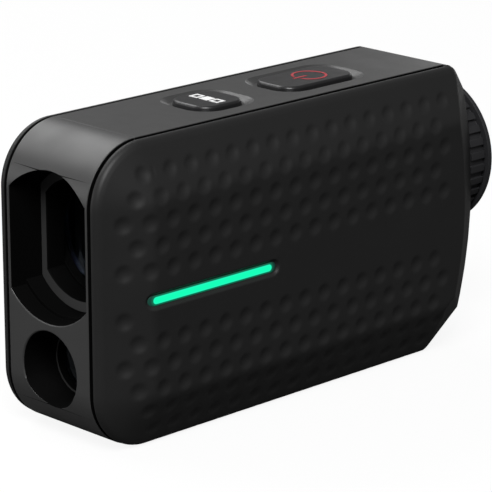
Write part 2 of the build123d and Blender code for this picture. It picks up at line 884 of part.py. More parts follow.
with BuildPart() as laser_lock_ring:
    add(ring(laser_seat_station + seat_gap, laser_lens_front - laser_relief, laser_clear_radius,
             laser_lens_radius, laser_height))
save(laser_lock_ring, "laser_lock_ring")

with BuildPart() as laser_lens:
    add(lens(laser_lens_front, laser_lens_back - laser_relief, laser_lens_radius,
             laser_lens_bulge, laser_lens_bulge, laser_height))
save(laser_lens, "laser_lens")

with BuildPart() as laser_diode:
    add(disc(diode_front, barrel_end, diode_radius, laser_height))
    add(disc(diode_front - diode_can_length, diode_front, diode_can_radius, laser_height))
save(laser_diode, "laser_diode")

with BuildPart() as laser_board:
    add(block((-board_half_width, board_half_width), (barrel_end, barrel_end + board_thickness),
              (laser_height - laser_board_reach, laser_height + laser_board_reach)))
save(laser_board, "laser_board")

# ---------------------------------------------------------------- prisms, receiver, display
with BuildPart() as prism_housing:
    add(block((-housing_half_width, housing_half_width), (housing_front, housing_back),
              (housing_bottom, housing_top)))
    add(block((-prism_half_width - seat_gap, prism_half_width + seat_gap),
              (housing_front + housing_wall, housing_back - housing_wall),
              (housing_bottom + housing_wall, housing_top + overrun)), mode=Mode.SUBTRACT)
    add(disc(housing_front - overrun, housing_back + overrun, prism_window, optical_height),
        mode=Mode.SUBTRACT)
    with BuildSketch(Plane.YZ.offset(housing_half_width)):
        with Locations((station(receiver_station), optical_height)):
            Circle(receiver_window)
    extrude(amount=prism_half_width - housing_half_width, mode=Mode.SUBTRACT)
    for across in (-housing_half_width, housing_half_width - leg_length):
        for along in (housing_front, housing_back - leg_length):
            add(block((across, across + leg_length), (along, along + leg_length),
                      (shelf_top, housing_bottom)))
save(prism_housing, "prism_housing")

prism_start = station(housing_front + housing_wall + seat_gap)
prism_finish = station(housing_back - housing_wall - seat_gap)
with BuildPart() as penta_prism:
    with BuildSketch(Plane.YZ.offset(-prism_half_width)):
        with BuildLine():
            Polyline((prism_start, prism_floor), (prism_start, prism_floor + prism_height),
                     (prism_start + prism_shoulder, prism_floor + prism_height),
                     (prism_start + prism_shoulder + prism_slope, prism_floor), close=True)
        make_face()
    extrude(amount=2 * prism_half_width)
    chamfer(penta_prism.edges().filter_by(Axis.X), length=prism_edge)
save(penta_prism, "penta_prism")

with BuildPart() as roof_prism:
    roof_start = prism_start + prism_shoulder + prism_gap
    with BuildSketch(Plane.YZ.offset(-prism_half_width)):
        with BuildLine():
            Polyline((roof_start + prism_slope, prism_floor),
                     (roof_start, prism_floor + prism_height),
                     (prism_finish, prism_floor + prism_height),
                     (prism_finish, prism_floor), close=True)
        make_face()
    extrude(amount=2 * prism_half_width)
    for side in (-1, 1):
        roof_edge = roof_prism.edges().filter_by(Axis.Y).group_by(Axis.Z)[-1].sort_by(Axis.X)
        chamfer(roof_edge[0] if side < 0 else roof_edge[-1], length=roof_chamfer)
save(roof_prism, "roof_prism")

with BuildPart() as receiver_diode:
    with BuildSketch(Plane.YZ.offset(housing_half_width)):
        with Locations((station(receiver_station), optical_height)):
            Circle(receiver_radius)
    extrude(amount=receiver_length)
save(receiver_diode, "receiver_diode")

with BuildPart() as receiver_board:
    add(block((housing_half_width + receiver_length,
               housing_half_width + receiver_length + board_thickness),
              (receiver_station - receiver_board_half_length,
               receiver_station + receiver_board_half_length),
              (optical_height - receiver_board_half_height,
               optical_height + receiver_board_half_height)))
save(receiver_board, "receiver_board")

with BuildPart() as display_holder:
    add(block((-housing_half_width, housing_half_width),
              (housing_back, housing_back + holder_thickness), (housing_bottom, housing_top)))
    add(disc(housing_back - overrun, housing_back + holder_thickness + overrun, display_window,
             optical_height), mode=Mode.SUBTRACT)
    add(block((-display_half_width - seat_gap, display_half_width + seat_gap),
              (housing_back + holder_thickness - display_thickness, housing_back + holder_thickness),
              (optical_height - display_half_height - seat_gap,
               optical_height + display_half_height + seat_gap)), mode=Mode.SUBTRACT)
save(display_holder, "display_holder")

with BuildPart() as display_panel:
    add(block((-display_half_width, display_half_width),
              (housing_back + holder_thickness - display_thickness, housing_back + holder_thickness),
              (optical_height - display_half_height, optical_height + display_half_height)))
save(display_panel, "display_panel")

# ---------------------------------------------------------------- boards, battery and motor
with BuildPart() as main_board:
    add(block((-main_board_x, board_thickness - main_board_x), main_board_stations,
              main_board_heights))
save(main_board, "main_board")

with BuildPart() as board_chips:
    for places, size in (((processor_place,), processor_size), ((memory_place,), memory_size),
                         (small_chip_places, small_chip_size)):
        with BuildSketch(Plane.YZ.offset(board_thickness - main_board_x)):
            with Locations(*[(station(y), z) for y, z in places]):
                Rectangle(size, size)
        extrude(amount=chip_rise)
save(board_chips, "board_chips")

with BuildPart() as battery_cell:
    add(block((-battery_half_width, battery_half_width),
              (battery_front + seat_gap, battery_back - seat_gap),
              (floor_top, shelf_top - wall_thickness - battery_swell)))
    fillet(battery_cell.edges().filter_by(Axis.X), radius=battery_rounding)
save(battery_cell, "battery_cell")

with BuildPart() as vibration_motor:
    add(disc(motor_front, motor_front + motor_length, motor_radius, motor_height))
    add(disc(motor_front + motor_length, motor_front + motor_length + weight_length + shaft_end,
             motor_shaft_radius, motor_height))
save(vibration_motor, "vibration_motor")

with BuildPart() as vibration_weight:
    weight_front = motor_front + motor_length + weight_gap
    add(ring(weight_front, weight_front + weight_length, motor_shaft_radius + running_fit,
             weight_radius, motor_height))
    with BuildPart(mode=Mode.PRIVATE) as missing_half:
        add(block((-weight_radius - overrun, weight_radius + overrun),
                  (weight_front - overrun, weight_front + weight_length + overrun),
                  (motor_height, motor_height + weight_radius + overrun)))
        add(disc(weight_front - overrun, weight_front + weight_length + overrun, weight_hub,
                 motor_height), mode=Mode.SUBTRACT)
    add(missing_half.part, mode=Mode.SUBTRACT)
save(vibration_weight, "vibration_weight")

# ---------------------------------------------------------------- rear cover and charging port
def wall_slab(inset, depth, half_width):
    """The body's outer wall between two insets, as a slab across the middle."""
    with BuildPart() as slab:
        add(outline_slab(inset, half_width))
        add(outline_slab(depth, half_width + overrun), mode=Mode.SUBTRACT)
    return slab.part


def cross_rod(radius, half_width):
    """A rod across the body on the port cover's hinge line."""
    with BuildPart() as rod:
        with BuildSketch(Plane.YZ):
            with Locations((station(pin_station), port_bottom)):
                Circle(radius)
        extrude(amount=half_width, both=True)
    return rod.part


def across_slot(place, width, height, length):
    """A stadium bar on the charging socket's line, from a station towards the front."""
    with BuildPart() as bar:
        with BuildSketch(Plane.XZ.offset(-station(place))):
            with Locations((0, socket_level)):
                SlotOverall(width, height)
        extrude(amount=length)
    return bar.part


port_low = port_bottom - knuckle_radius - port_room
port_high = port_top + port_room
plate_front = pocket_floor - rear_plate
with BuildPart() as rear_cover:
    add(wall_slab(0, cover_thickness, rim_x - seat_gap))
    add(wall_slab(cover_thickness, rear_wall, half_frame))
    add(flatted(disc(plate_front, pocket_floor, ring_radius, optical_height), half_frame))
    with BuildPart(mode=Mode.PRIVATE) as port_block:
        add(outline_slab(cover_thickness, port_half_width + port_cheek))
        add(block((-half_frame, half_frame), (port_block_front, overall_length),
                  (port_low - port_cheek, port_high + port_cheek)), mode=Mode.INTERSECT)
    add(port_block.part)
    with BuildPart(mode=Mode.PRIVATE) as tongue:
        add(outline_slab(cover_thickness, half_frame))
        add(block((-half_frame, half_frame), (top_length - tongue_length, overall_length),
                  (band_under, band_top)), mode=Mode.INTERSECT)
    add(tongue.part)
    add(block((-overall_width, overall_width), (-overrun, bottom_length),
              (-overrun, body_height)), mode=Mode.SUBTRACT)
    add(block((-overall_width, overall_width), (-overrun, top_length),
              (band_top, body_height + overrun)), mode=Mode.SUBTRACT)
    add(block((-overall_width, overall_width), (-overrun, top_length - tongue_length),
              (shelf_top, band_top)), mode=Mode.SUBTRACT)
    add(ring_pocket, mode=Mode.SUBTRACT)
    add(disc(bottom_length, plate_front, flange_radius + seat_gap, optical_height),
        mode=Mode.SUBTRACT)
    add(disc(bottom_length, overall_length, tube_radius + seat_gap, optical_height),
        mode=Mode.SUBTRACT)
    with BuildPart(mode=Mode.PRIVATE) as port_pocket:
        add(wall_slab(-overrun, port_lid + port_room, port_half_width + slide_fit))
        add(block((-half_frame, half_frame), (port_block_front, overall_length),
                  (port_low, port_high)), mode=Mode.INTERSECT)
    add(port_pocket.part, mode=Mode.SUBTRACT)
    add(cross_rod(knuckle_radius + port_room, port_half_width + slide_fit), mode=Mode.SUBTRACT)
    add(cross_rod(pin_radius + pin_fit, port_half_width + pin_bite), mode=Mode.SUBTRACT)
    add(across_slot(overall_length, socket_width + 2 * seat_gap, socket_height + 2 * seat_gap,
                    overall_length - bottom_length), mode=Mode.SUBTRACT)
    with BuildSketch(Plane.XZ.offset(-station(plate_front))):
        add(tube_circles(small_screw_radius))
    extrude(amount=-tube_screw_bite, mode=Mode.SUBTRACT)
save(rear_cover, "rear_cover")

with BuildPart() as port_cover:
    add(wall_slab(0, port_lid, port_half_width))
    add(block((-half_frame, half_frame), (port_block_front, overall_length),
              (port_bottom, port_top)), mode=Mode.INTERSECT)
    add(cross_rod(knuckle_radius, port_half_width))
    add(cross_rod(pin_radius + running_fit, port_half_width + overrun), mode=Mode.SUBTRACT)
save(port_cover, "port_cover")

with BuildPart() as port_cover_pin:
    add(cross_rod(pin_radius, port_half_width + pin_bite))
save(port_cover_pin, "port_cover_pin")

with BuildPart() as usb_socket:
    add(across_slot(socket_station, socket_width, socket_height, socket_length))
    add(across_slot(socket_station, socket_width - 2 * socket_wall, socket_height - 2 * socket_wall,
                    socket_length - socket_wall), mode=Mode.SUBTRACT)
    add(block((-contact_half_width, contact_half_width),
              (socket_station - socket_length, socket_station - contact_setback),
              (socket_level - contact_thickness / 2, socket_level + contact_thickness / 2)))
save(usb_socket, "usb_socket")

with BuildPart() as usb_board:
    board_level = socket_level - socket_height / 2
    add(block((-port_half_width, port_half_width),
              (battery_back + wall_thickness, port_block_front),
              (board_level - board_thickness, board_level)))
save(usb_board, "usb_board")

# ---------------------------------------------------------------- eyepiece
flange_back = plate_front - seal_thickness
with BuildPart() as eyepiece_tube:
    add(ring(tube_front, tube_back, tube_bore, tube_radius, optical_height))
    add(flatted(ring(flange_back - tube_flange, flange_back, tube_bore, flange_radius,
                     optical_height), half_frame - seat_gap))
    with BuildSketch(Plane.XZ.offset(-station(flange_back))):
        add(tube_circles(small_screw_radius))
    extrude(amount=tube_flange, mode=Mode.SUBTRACT)
save(eyepiece_tube, "eyepiece_tube")

with BuildPart() as rear_seal:
    add(flatted(ring(flange_back, plate_front, tube_radius + seat_gap, flange_radius,
                     optical_height), half_frame - seat_gap))
    with BuildSketch(Plane.XZ.offset(-station(flange_back))):
        add(tube_circles(small_screw_radius))
    extrude(amount=-seal_thickness, mode=Mode.SUBTRACT)
save(rear_seal, "rear_seal")

with BuildPart() as tube_screws:
    for back, reach, radius in ((flange_back - tube_flange, small_screw_head,
                                 small_screw_head_radius),
                                (plate_front + tube_screw_bite,
                                 tube_flange + seal_thickness + tube_screw_bite,
                                 small_screw_radius)):
        with BuildSketch(Plane.XZ.offset(-station(back))):
            add(tube_circles(radius))
        extrude(amount=reach)
save(tube_screws, "tube_screws")

ring_front = pocket_floor + slide_fit
neck_front = flange_rim_front - neck_length
with BuildPart() as diopter_ring:
    with BuildSketch(Plane.XZ.offset(-station(neck_front))):
        with Locations((0, optical_height)):
            Circle(rib_radius)
            with PolarLocations(rib_radius, rib_count):
                Rectangle(2 * rib_depth, rib_width, mode=Mode.SUBTRACT)
    extrude(amount=neck_front - ring_front)
    add(ring(neck_front, flange_rim_front, 0, rib_radius - neck_depth, optical_height))
    add(ring(flange_rim_front, ring_back_face, 0, ring_radius, optical_height))
    add(disc(ring_front - overrun, tube_back + slide_fit, tube_radius + running_fit, optical_height),
        mode=Mode.SUBTRACT)
    add(disc(ring_front - overrun, overall_length + overrun, ring_lip_radius, optical_height),
        mode=Mode.SUBTRACT)
save(diopter_ring, "diopter_ring")

with BuildPart() as eyecup_rim:
    add(turned([(ring_back_face, ring_lip_radius + eyecup_inset),
                (overall_length - eyecup_edge, ring_lip_radius + eyecup_inset),
                (overall_length, ring_lip_radius + 2 * eyecup_inset),
                (overall_length, ring_radius - 2 * eyecup_inset),
                (overall_length - eyecup_edge, ring_radius - eyecup_inset),
                (ring_back_face, ring_radius - eyecup_inset)], optical_height))
save(eyecup_rim, "eyecup_rim")

cell_radius = tube_bore - running_fit
with BuildPart() as ocular_cell:
    add(turned([(cell_front, cell_lip), (cell_front + cell_shoulder, cell_lip),
                (cell_front + cell_shoulder, eye_lens_radius + seat_gap),
                (cell_back, eye_lens_radius + seat_gap), (cell_back, cell_radius),
                (cell_front, cell_radius)], optical_height))
save(ocular_cell, "ocular_cell")

field_front = cell_front + cell_shoulder
with BuildPart() as field_lens:
    add(lens(field_front + face_relief(eye_lens_radius, field_bulge, cell_lip), field_back,
             eye_lens_radius, field_bulge, field_bulge, optical_height))
save(field_lens, "field_lens")

with BuildPart() as lens_spacer:
    spacer_relief = face_relief(eye_lens_radius, field_bulge, spacer_bore)
    eye_relief = face_relief(eye_lens_radius, eye_bulge, spacer_bore)
    add(ring(field_back + spacer_relief, eye_front - eye_relief, spacer_bore, eye_lens_radius,
             optical_height))
save(lens_spacer, "lens_spacer")

with BuildPart() as eye_lens:
    add(lens(eye_front, eye_back, eye_lens_radius, eye_bulge, eye_bulge, optical_height))
save(eye_lens, "eye_lens")

with BuildPart() as ocular_lock_ring:
    add(ring(eye_back + face_relief(eye_lens_radius, eye_bulge, spacer_bore), cell_back - seat_gap,
             spacer_bore, eye_lens_radius, optical_height))
save(ocular_lock_ring, "ocular_lock_ring")
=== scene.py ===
"""Looks of a palm-size laser rangefinder: its visible pieces, their finishes and a plain studio.

Laid out as a Blender add-on. +X is the user's left, +Y runs back to the eyepiece, +Z is up.
"""
import json
import math

import bmesh
import bpy
from bpy.props import FloatProperty, FloatVectorProperty, IntProperty, PointerProperty
from mathutils import Matrix, Vector


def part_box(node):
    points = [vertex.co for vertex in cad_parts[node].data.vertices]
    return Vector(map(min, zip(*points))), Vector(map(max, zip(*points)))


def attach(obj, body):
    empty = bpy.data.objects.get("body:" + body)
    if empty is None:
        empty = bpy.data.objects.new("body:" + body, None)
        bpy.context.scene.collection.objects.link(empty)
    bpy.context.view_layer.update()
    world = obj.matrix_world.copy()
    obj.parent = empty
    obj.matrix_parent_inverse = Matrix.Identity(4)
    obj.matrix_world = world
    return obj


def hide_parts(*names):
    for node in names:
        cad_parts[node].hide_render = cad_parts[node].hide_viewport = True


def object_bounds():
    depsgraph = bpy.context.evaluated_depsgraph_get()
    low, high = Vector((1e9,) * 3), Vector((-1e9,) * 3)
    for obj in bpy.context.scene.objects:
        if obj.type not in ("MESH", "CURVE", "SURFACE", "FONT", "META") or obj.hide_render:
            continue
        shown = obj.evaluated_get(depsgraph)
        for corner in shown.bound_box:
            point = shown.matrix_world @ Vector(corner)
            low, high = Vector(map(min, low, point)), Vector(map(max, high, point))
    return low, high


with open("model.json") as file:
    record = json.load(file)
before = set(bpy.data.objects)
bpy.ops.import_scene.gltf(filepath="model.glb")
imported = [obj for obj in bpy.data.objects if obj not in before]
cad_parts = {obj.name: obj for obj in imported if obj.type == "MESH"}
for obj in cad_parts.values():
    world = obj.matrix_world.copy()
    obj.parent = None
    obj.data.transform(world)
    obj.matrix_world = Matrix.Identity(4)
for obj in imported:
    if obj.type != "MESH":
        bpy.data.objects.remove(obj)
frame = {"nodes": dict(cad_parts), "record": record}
cad_low, cad_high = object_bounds()

bl_info = {
    "name": "Laser rangefinder finish",
    "version": (1, 0, 0),
    "blender": (4, 5, 0),
    "location": "View3D > Sidebar > Rangefinder",
    "description": "Visible pieces, finishes and studio of a palm-size laser rangefinder",
    "category": "Object",
}

MM = 0.001
# Angles in degrees
EDGE_ANGLE = 40
SMOOTH_ANGLE = 35
COVER_SMOOTH_ANGLE = 50
FLAT_ANGLE = 0.5
ARC_STEP = 4
# Reaches within which places count as one, or as lying on a cut or a face
MERGE_REACH = 0.002 * MM
CUT_REACH = 0.001 * MM
CUT_MERGE_REACH = 0.03 * MM
ON_CUT = 0.04 * MM
ON_FACE = 0.05 * MM
# Width of one thread of a board's weave
WEAVE = 0.5 * MM
# Least cosines from which a face of a kind counts as facing its way, and a wall's least lean
SIDE_FACING = 0.95
STEP_FACING = 0.9
RING_FACING = 0.97
EDGE_FACING = 0.3
WALL_LEAN = 0.1 * MM
# Steps of the roundings, and the rings of the rim that lie in the gap and take painted shade
BEVEL_STEPS = 3
LEAST_ARC_STEPS = 8
RIM_STEPS = 7
LIP_STEPS = 3
DISH_STEPS = 6
SLOT_STEPS = 200
SHADE_PAINTED_RINGS = 3

BODIES = frame["record"]["behaviour"]["bodies"]
BODY_OF = {node: body for body, members in BODIES.items() for node in members}
COVER_LOW, COVER_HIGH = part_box("left_grip_cover")
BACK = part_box("rear_cover")[1].y
FRAME_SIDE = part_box("top_plate")[1].x
LIGHT_LOW, LIGHT_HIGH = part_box("light_bar")


def light_centre(light):
    """The middle of the lit bar."""
    return (LIGHT_LOW + LIGHT_HIGH) / 2 + Vector((0, light.shift, -light.drop))


def linear(code):
    """An sRGB hex colour as linear red, green, blue and alpha."""
    channels = [int(code[i:i + 2], 16) / 255 for i in (1, 3, 5)]
    return [c / 12.92 if c <= 0.04045 else ((c + 0.055) / 1.055) ** 2.4 for c in channels] + [1.0]


def length(millimetres, description):
    """A property that holds a real length."""
    return FloatProperty(description=description, default=millimetres * MM, unit="LENGTH",
                         subtype="DISTANCE", precision=5)


def number(value, description):
    """A property that holds a plain number."""
    return FloatProperty(description=description, default=value)


def count(value, description):
    """A property that holds a whole number."""
    return IntProperty(description=description, default=value)


def vector(values, description):
    """A property that holds a place or a direction."""
    return FloatVectorProperty(description=description, default=values, precision=5)


def colour(code, description):
    """A property that holds a colour, given as sRGB hex."""
    return FloatVectorProperty(description=description, default=linear(code), subtype="COLOR",
                               size=4, min=0, max=1)


# ---------------------------------------------------------------- settings
class CoverSettings(bpy.types.PropertyGroup):
    """Sizes of the two dimpled grip covers."""
    corner_radius: length(11.0, "Radius of the two front corners")
    top_rear: length(5.6, "From the back to the corner at the rear end of the top edge")
    top_rounding: length(2.15, "Rounding of that corner")
    shoulder_rear: length(2.9, "From the back to the shoulder corner")
    shoulder_drop: length(4.4, "From the top down to the shoulder corner")
    back_height: length(29.0, "Height of the rearmost place of the outline")
    heel_rear: length(3.3, "From the back to the heel corner")
    heel_height: length(6.6, "Height of the heel corner")
    bottom_rear: length(12.5, "From the back to the rear end of the bottom edge")
    facet_draw: length(9.5, "Width of the front, top and bottom facets")
    rear_draw: length(7.0, "Width of the rear facet")
    shoulder_draw: length(7.5, "Width of the facet at the shoulder")
    heel_draw: length(7.2, "Width of the facet at the heel")
    gap: length(0.6, "Width of the dark gap between the frame and a cover")
    set_back: length(0.13, "How far the cover's edge lies inside the frame's edge")
    rim_wall: length(1.0, "Height of the wall round the cover")
    rim_radius: length(1.3, "Rounding from the wall to the facets")
    rim_band: length(1.1, "Width of the band that carries the rounding")
    lip_radius: length(0.3, "Rounding at the foot of the wall")
    thickness: length(1.3, "Thickness of the moulded cover")
    soft_break: length(0.42, "Depth over which a facet turns into the flat face")
    sharp_break: length(0.16, "The same for the rear facets")
    dimple_pitch: length(4.842, "Spacing of the dimples along a row")
    row_pitch: length(4.2, "Spacing of the rows")
    first_dimple: length(13.72, "Station of the second dimple of an even row")
    top_row: length(40.75, "Height of the highest row on the flat face")
    dimple_radius: length(1.65, "Radius of a dimple at its soft edge")
    dimple_depth: length(0.42, "Depth of a dimple")
    lean: number(0.24, "Rearward shift of the dimples per unit up the top facet")
    last_dimple: count(14, "Count of the last dimple of a row")
    first_row: count(-2, "Highest row, counted from the top row")
    corner_above: count(-1, "Rows before this one keep clear of the corner")
    corner_below: count(7, "Rows after this one keep clear of the corner")
    row_start: length(3.0, "Station before which a row has no dimple")
    corner_start: length(8.0, "The same for the rows beside a corner")
    bare_first: count(3, "First row that makes room for the light bar")
    bare_last: count(4, "Last row that makes room for the light bar")
    bare_start: length(5.0, "Station after which those rows are bare")
    dimple_power: number(1.25, "How softly a dimple's edge ends")
    cell: length(0.34, "Size of the skin's mesh cells")
    inner_cell: length(3.0, "Size of the mesh cells inside the cover")


class LightSettings(bpy.types.PropertyGroup):
    """Sizes and colours of the light bar in the left cover."""
    recess: length(0.5, "Depth of the light bar under the skin")
    margin: length(0.7, "Width of the dished edge round the bar")
    shift: length(0.3, "Rearward shift of the bar's middle")
    drop: length(0.15, "Downward shift of the bar's middle")
    body: length(1.0, "Thickness of the bar")
    half_length: length(14.9, "Half the length of the bar")
    half_height: length(0.95, "Half the height of the bar")
    lit_length: length(13.85, "Half the length of the part that is lit")
    lit_height: length(0.57, "Half the height of the part that is lit")
    strength: number(1.0, "Brightness of the lit bar")
    core: colour("#05FDB6", "Colour along the middle of the lit bar")
    rim: colour("#1FF8BE", "Colour just inside the edge of the lit part")
    halo: colour("#006E4E", "Colour just outside the lit part")
    edge: colour("#0A3027", "Colour at the edge of the bar")


class EdgeSettings(bpy.types.PropertyGroup):
    """Roundings of the edges of the pieces that keep their CAD shape."""
    frame: length(0.15, "Edges of the centre frame")
    groove: length(0.06, "Edges of the centre frame along the gaps")
    groove_reach: length(0.12, "Width of the frame's border that has those edges")
    opening: length(0.25, "Front edges of the two openings")
    dish: length(0.25, "Edges of the top plate and its dished button surrounds")
    dish_angle: number(15, "Angle over which the top plate's edges are rounded")
    # Painted shade: the walls of the openings are painted black where shade falls in them.
    shade_margin: length(2.2, "How far round an opening its walls are matt black")
    shade_depth: length(1.0, "Depth behind which they are matt black all round")
    button: length(0.45, "Edges of the button caps")
    optics: length(0.1, "Edges of the optical rings and tubes")
    eyepiece: length(0.12, "Edges of the ribbed ring")
    port: length(0.15, "Edges of the port cover")
    socket: length(0.05, "Edges of the socket")


class FinishSettings(bpy.types.PropertyGroup):
    """Colours of the finishes."""
    grip: colour("#1E1E1E", "Soft-touch grip covers")
    frame: colour("#3C3C3C", "Satin centre frame")
    shell: colour("#0A0A0B", "Plain black moulded pieces")
    button: colour("#1B1B1C", "Button caps")
    ring: colour("#1E1E20", "Ribbed eyepiece ring")
    metal: colour("#3A3A3A", "Black anodised optical rings")
    # Painted shade: the black that stands for the shade in the openings and gaps.
    shade_paint: colour("#060606", "Matt black inside of the openings and gaps")
    glass: colour("#DCE4EE", "Coated optical glass")
    steel: colour("#A8A9AB", "Screws, cans and pins")
    mask: colour("#10492B", "Solder mask of the boards")
    mask_weave: colour("#124F30", "Solder mask over the weave")
    epoxy: colour("#161617", "Chip packages and switches")
    acetal: colour("#9A9A98", "Switch plungers")
    phosphor: colour("#D8CE86", "Lamps behind the light bar")
    foil: colour("#9FA3AA", "Wrapping of the battery")
    white_print: colour("#E8E8E8", "Pad print on the small button")
    red_print: colour("#A03038", "Pad print on the power button")


class StudioSettings(bpy.types.PropertyGroup):
    """Lamps, floor and camera."""
    overhead_power: number(11.0, "Power of the overhead softbox in watts")
    right_power: number(5.0, "Power of the right softbox in watts")
    front_power: number(1.15, "Power of the front softbox in watts")
    rear_power: number(1.2, "Power of the rear softbox in watts")
    world_strength: number(0.12, "Strength of the room light")
    reflected_white: number(0.2, "Share of the white room in gloss and glass")
    floor: colour("#F4F4F4", "Floor as the camera sees it")
    unseen_floor: colour("#484848", "Floor as it lights the object from below")
    floor_glow: number(0.9, "Share of plain white in the floor the camera sees")
    floor_radius: number(4, "Radius of the floor in metres")
    floor_gap: length(0.05, "Gap between the object and the floor")
    lens: number(211.9, "Focal length in millimetres")
    sensor: number(36, "Width of the sensor in millimetres")
    camera_place: vector((0.35767, -0.35128, 0.17457), "Where the camera stands")
    camera_right: vector((0.69880, 0.71532, -0.00112), "Right as it sees it")
    camera_up: vector((-0.20380, 0.20059, 0.95824), "Up as it sees it")


# ---------------------------------------------------------------- meshes
def finish_piece(name, mesh, material, node):
    """Links a mesh as a piece that stands for a CAD node and rides on its body."""
    piece = bpy.data.objects.new(name, mesh)
    bpy.context.scene.collection.objects.link(piece)
    piece.data.materials.append(material)
    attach(piece, BODY_OF[node])
    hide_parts(node)
    return piece


def to_mesh(name, bm, sharp_angle=SMOOTH_ANGLE):
    """A smooth-shaded mesh from a bmesh, with its hard edges kept."""
    mesh = bpy.data.meshes.new(name)
    bm.to_mesh(mesh)
    bm.free()
    mesh.polygons.foreach_set("use_smooth", [True] * len(mesh.polygons))
    mesh.set_sharp_from_angle(angle=math.radians(sharp_angle))
    return mesh


def sharp_edges(bm, angle, reach=math.inf, is_outer=False):
    """Edges sharper than an angle in degrees, inside or outside a reach from the centre plane."""
    return [edge for edge in bm.edges if len(edge.link_faces) == 2
            and edge.calc_face_angle(0) > math.radians(angle)
            and (min(abs(vert.co.x) for vert in edge.verts) >= reach) == is_outer]


def round_edges(bm, edges, width):
    """Rounds edges to a width."""
    bmesh.ops.bevel(bm, geom=edges, offset=width, offset_type="OFFSET", segments=BEVEL_STEPS,
                    profile=0.5, affect="EDGES", material=-1, clamp_overlap=True)


def merged(node):
    """A CAD node as a bmesh with its doubles merged and its flat faces joined."""
    bm = bmesh.new()
    bm.from_mesh(frame["nodes"][node].data)
    bmesh.ops.remove_doubles(bm, verts=bm.verts, dist=MERGE_REACH)
    bmesh.ops.dissolve_limit(bm, angle_limit=math.radians(FLAT_ANGLE), verts=bm.verts,
                             edges=bm.edges)
    return bm


def shaded_piece(node, bm, material):
    """A piece from a reworked CAD node, shaded so that its flat faces stay flat."""
    piece = finish_piece(node + "_finish", to_mesh(node + "_finish", bm), material, node)
    shading = piece.modifiers.new("Flat faces stay flat", "WEIGHTED_NORMAL")
    shading.keep_sharp = True
    return piece


def carried_piece(node, material, edge=0):
    """A CAD node as a merged mesh with its edges rounded."""
    bm = merged(node)
    if edge:
        round_edges(bm, sharp_edges(bm, EDGE_ANGLE), edge)
    return shaded_piece(node, bm, material)


def frame_piece(node, material, width, angle):
    """A piece of the centre frame, with finer edges along the gaps beside it."""
    edges = bpy.context.scene.rangefinder_edge
    reach = FRAME_SIDE - edges.groove_reach
    bm = merged(node)
    if node == "front_bezel":
        openings = [edge for edge in sharp_edges(bm, EDGE_ANGLE, reach)
                    if max(vert.co.y for vert in edge.verts) < cad_low.y + ON_FACE]
        round_edges(bm, openings, edges.opening)
    round_edges(bm, sharp_edges(bm, EDGE_ANGLE, reach, True), edges.groove)
    round_edges(bm, sharp_edges(bm, angle, reach), width)
    return shaded_piece(node, bm, material)


# ---------------------------------------------------------------- materials
def add_node(tree, kind, inputs=None, **settings):
    """Adds a node, applies its settings, and sets or links each of its inputs."""
    made = tree.nodes.new(kind)
    for name, value in settings.items():
        setattr(made, name, value)
    for socket, value in (inputs or {}).items():
        if isinstance(value, bpy.types.NodeSocket):
            tree.links.new(value, made.inputs[socket])
        else:
            made.inputs[socket].default_value = value
    return made


def new_material(name, base, roughness, **sockets):
    """A material whose uniform values sit on its shader's own sockets."""
    made = bpy.data.materials.new(name)
    made.use_nodes = True
    made.diffuse_color = base
    shader = made.node_tree.nodes["Principled BSDF"]
    shader.inputs["Base Color"].default_value = base
    shader.inputs["Roughness"].default_value = roughness
    for socket, value in sockets.items():
        shader.inputs[socket.replace("_", " ")].default_value = value
    return made, made.node_tree, shader


def add_noise(tree, size, detail):
    """Noise with a real size in millimetres."""
    where = add_node(tree, "ShaderNodeTexCoord")
    return add_node(tree, "ShaderNodeTexNoise", {"Vector": where.outputs["Object"],
                                                 "Scale": 1 / (size * MM), "Detail": detail})


def add_grain(tree, shader, grain, depth):
    """Fine bumps of a real grain size and depth, both in millimetres."""
    noise = add_noise(tree, grain, 2.0)
    bump = add_node(tree, "ShaderNodeBump", {"Height": noise.outputs[0], "Distance": depth * MM,
                                             "Strength": 1.0})
    tree.links.new(bump.outputs["Normal"], shader.inputs["Normal"])


def add_wear(tree, shader, low, high, patch):
    """Roughness that drifts between two values over patches of a real size in millimetres."""
    noise = add_noise(tree, patch, 4.0)
    # Nearly all of the noise lies between 0.3 and 0.7.
    spread = add_node(tree, "ShaderNodeMapRange", {"Value": noise.outputs[0], "From Min": 0.3,
                                                   "From Max": 0.7, "To Min": low,
                                                   "To Max": high})
    tree.links.new(spread.outputs["Result"], shader.inputs["Roughness"])


def textured(name, base, roughness, grain, depth, wear=None, **sockets):
    """A material with grain, and with wear given as its lowest and highest roughness and patch."""
    # Real grain is 0.05 to 0.15 mm. It is drawn at 0.2 to 0.3 mm so that it still shows.
    made, tree, shader = new_material(name, base, roughness, **sockets)
    add_grain(tree, shader, grain, depth)
    if wear:
        add_wear(tree, shader, *wear)
    return made


def finishes():
    """The colours of the finishes."""
    return bpy.context.scene.rangefinder_finish


def soft_touch_tpu():
    """Thermoplastic polyurethane from a spark-eroded mould: matt, with a soft broad highlight."""
    return textured("soft_touch_tpu", finishes().grip, roughness=0.5, grain=0.3, depth=0.006,
                    wear=(0.44, 0.54, 9.0), Specular_IOR_Level=0.3)


def satin_painted_abs():
    """ABS with a satin two-coat paint: charcoal, with a smooth gradient over curved places."""
    return textured("satin_painted_abs", finishes().frame, roughness=0.42, grain=0.22, depth=0.003,
                    wear=(0.38, 0.46, 7.0), Metallic=0.25)


def moulded_abs():
    """Plain black ABS from a fine-textured mould: an even dull sheen."""
    return textured("moulded_abs", finishes().shell, roughness=0.5, grain=0.25, depth=0.004)


def painted_shade_material():
    """Matt black painted shade for the walls of the openings and gaps, where shade falls."""
    return textured("painted_shade_material", finishes().shade_paint, roughness=0.7, grain=0.25, depth=0.004,
                    Specular_IOR_Level=0.04)


def satin_button_abs():
    """Black ABS button cap, satin on top and polished by fingers along its edge."""
    return textured("satin_button_abs", finishes().button, roughness=0.36, grain=0.25, depth=0.002,
                    wear=(0.3, 0.42, 3.0))


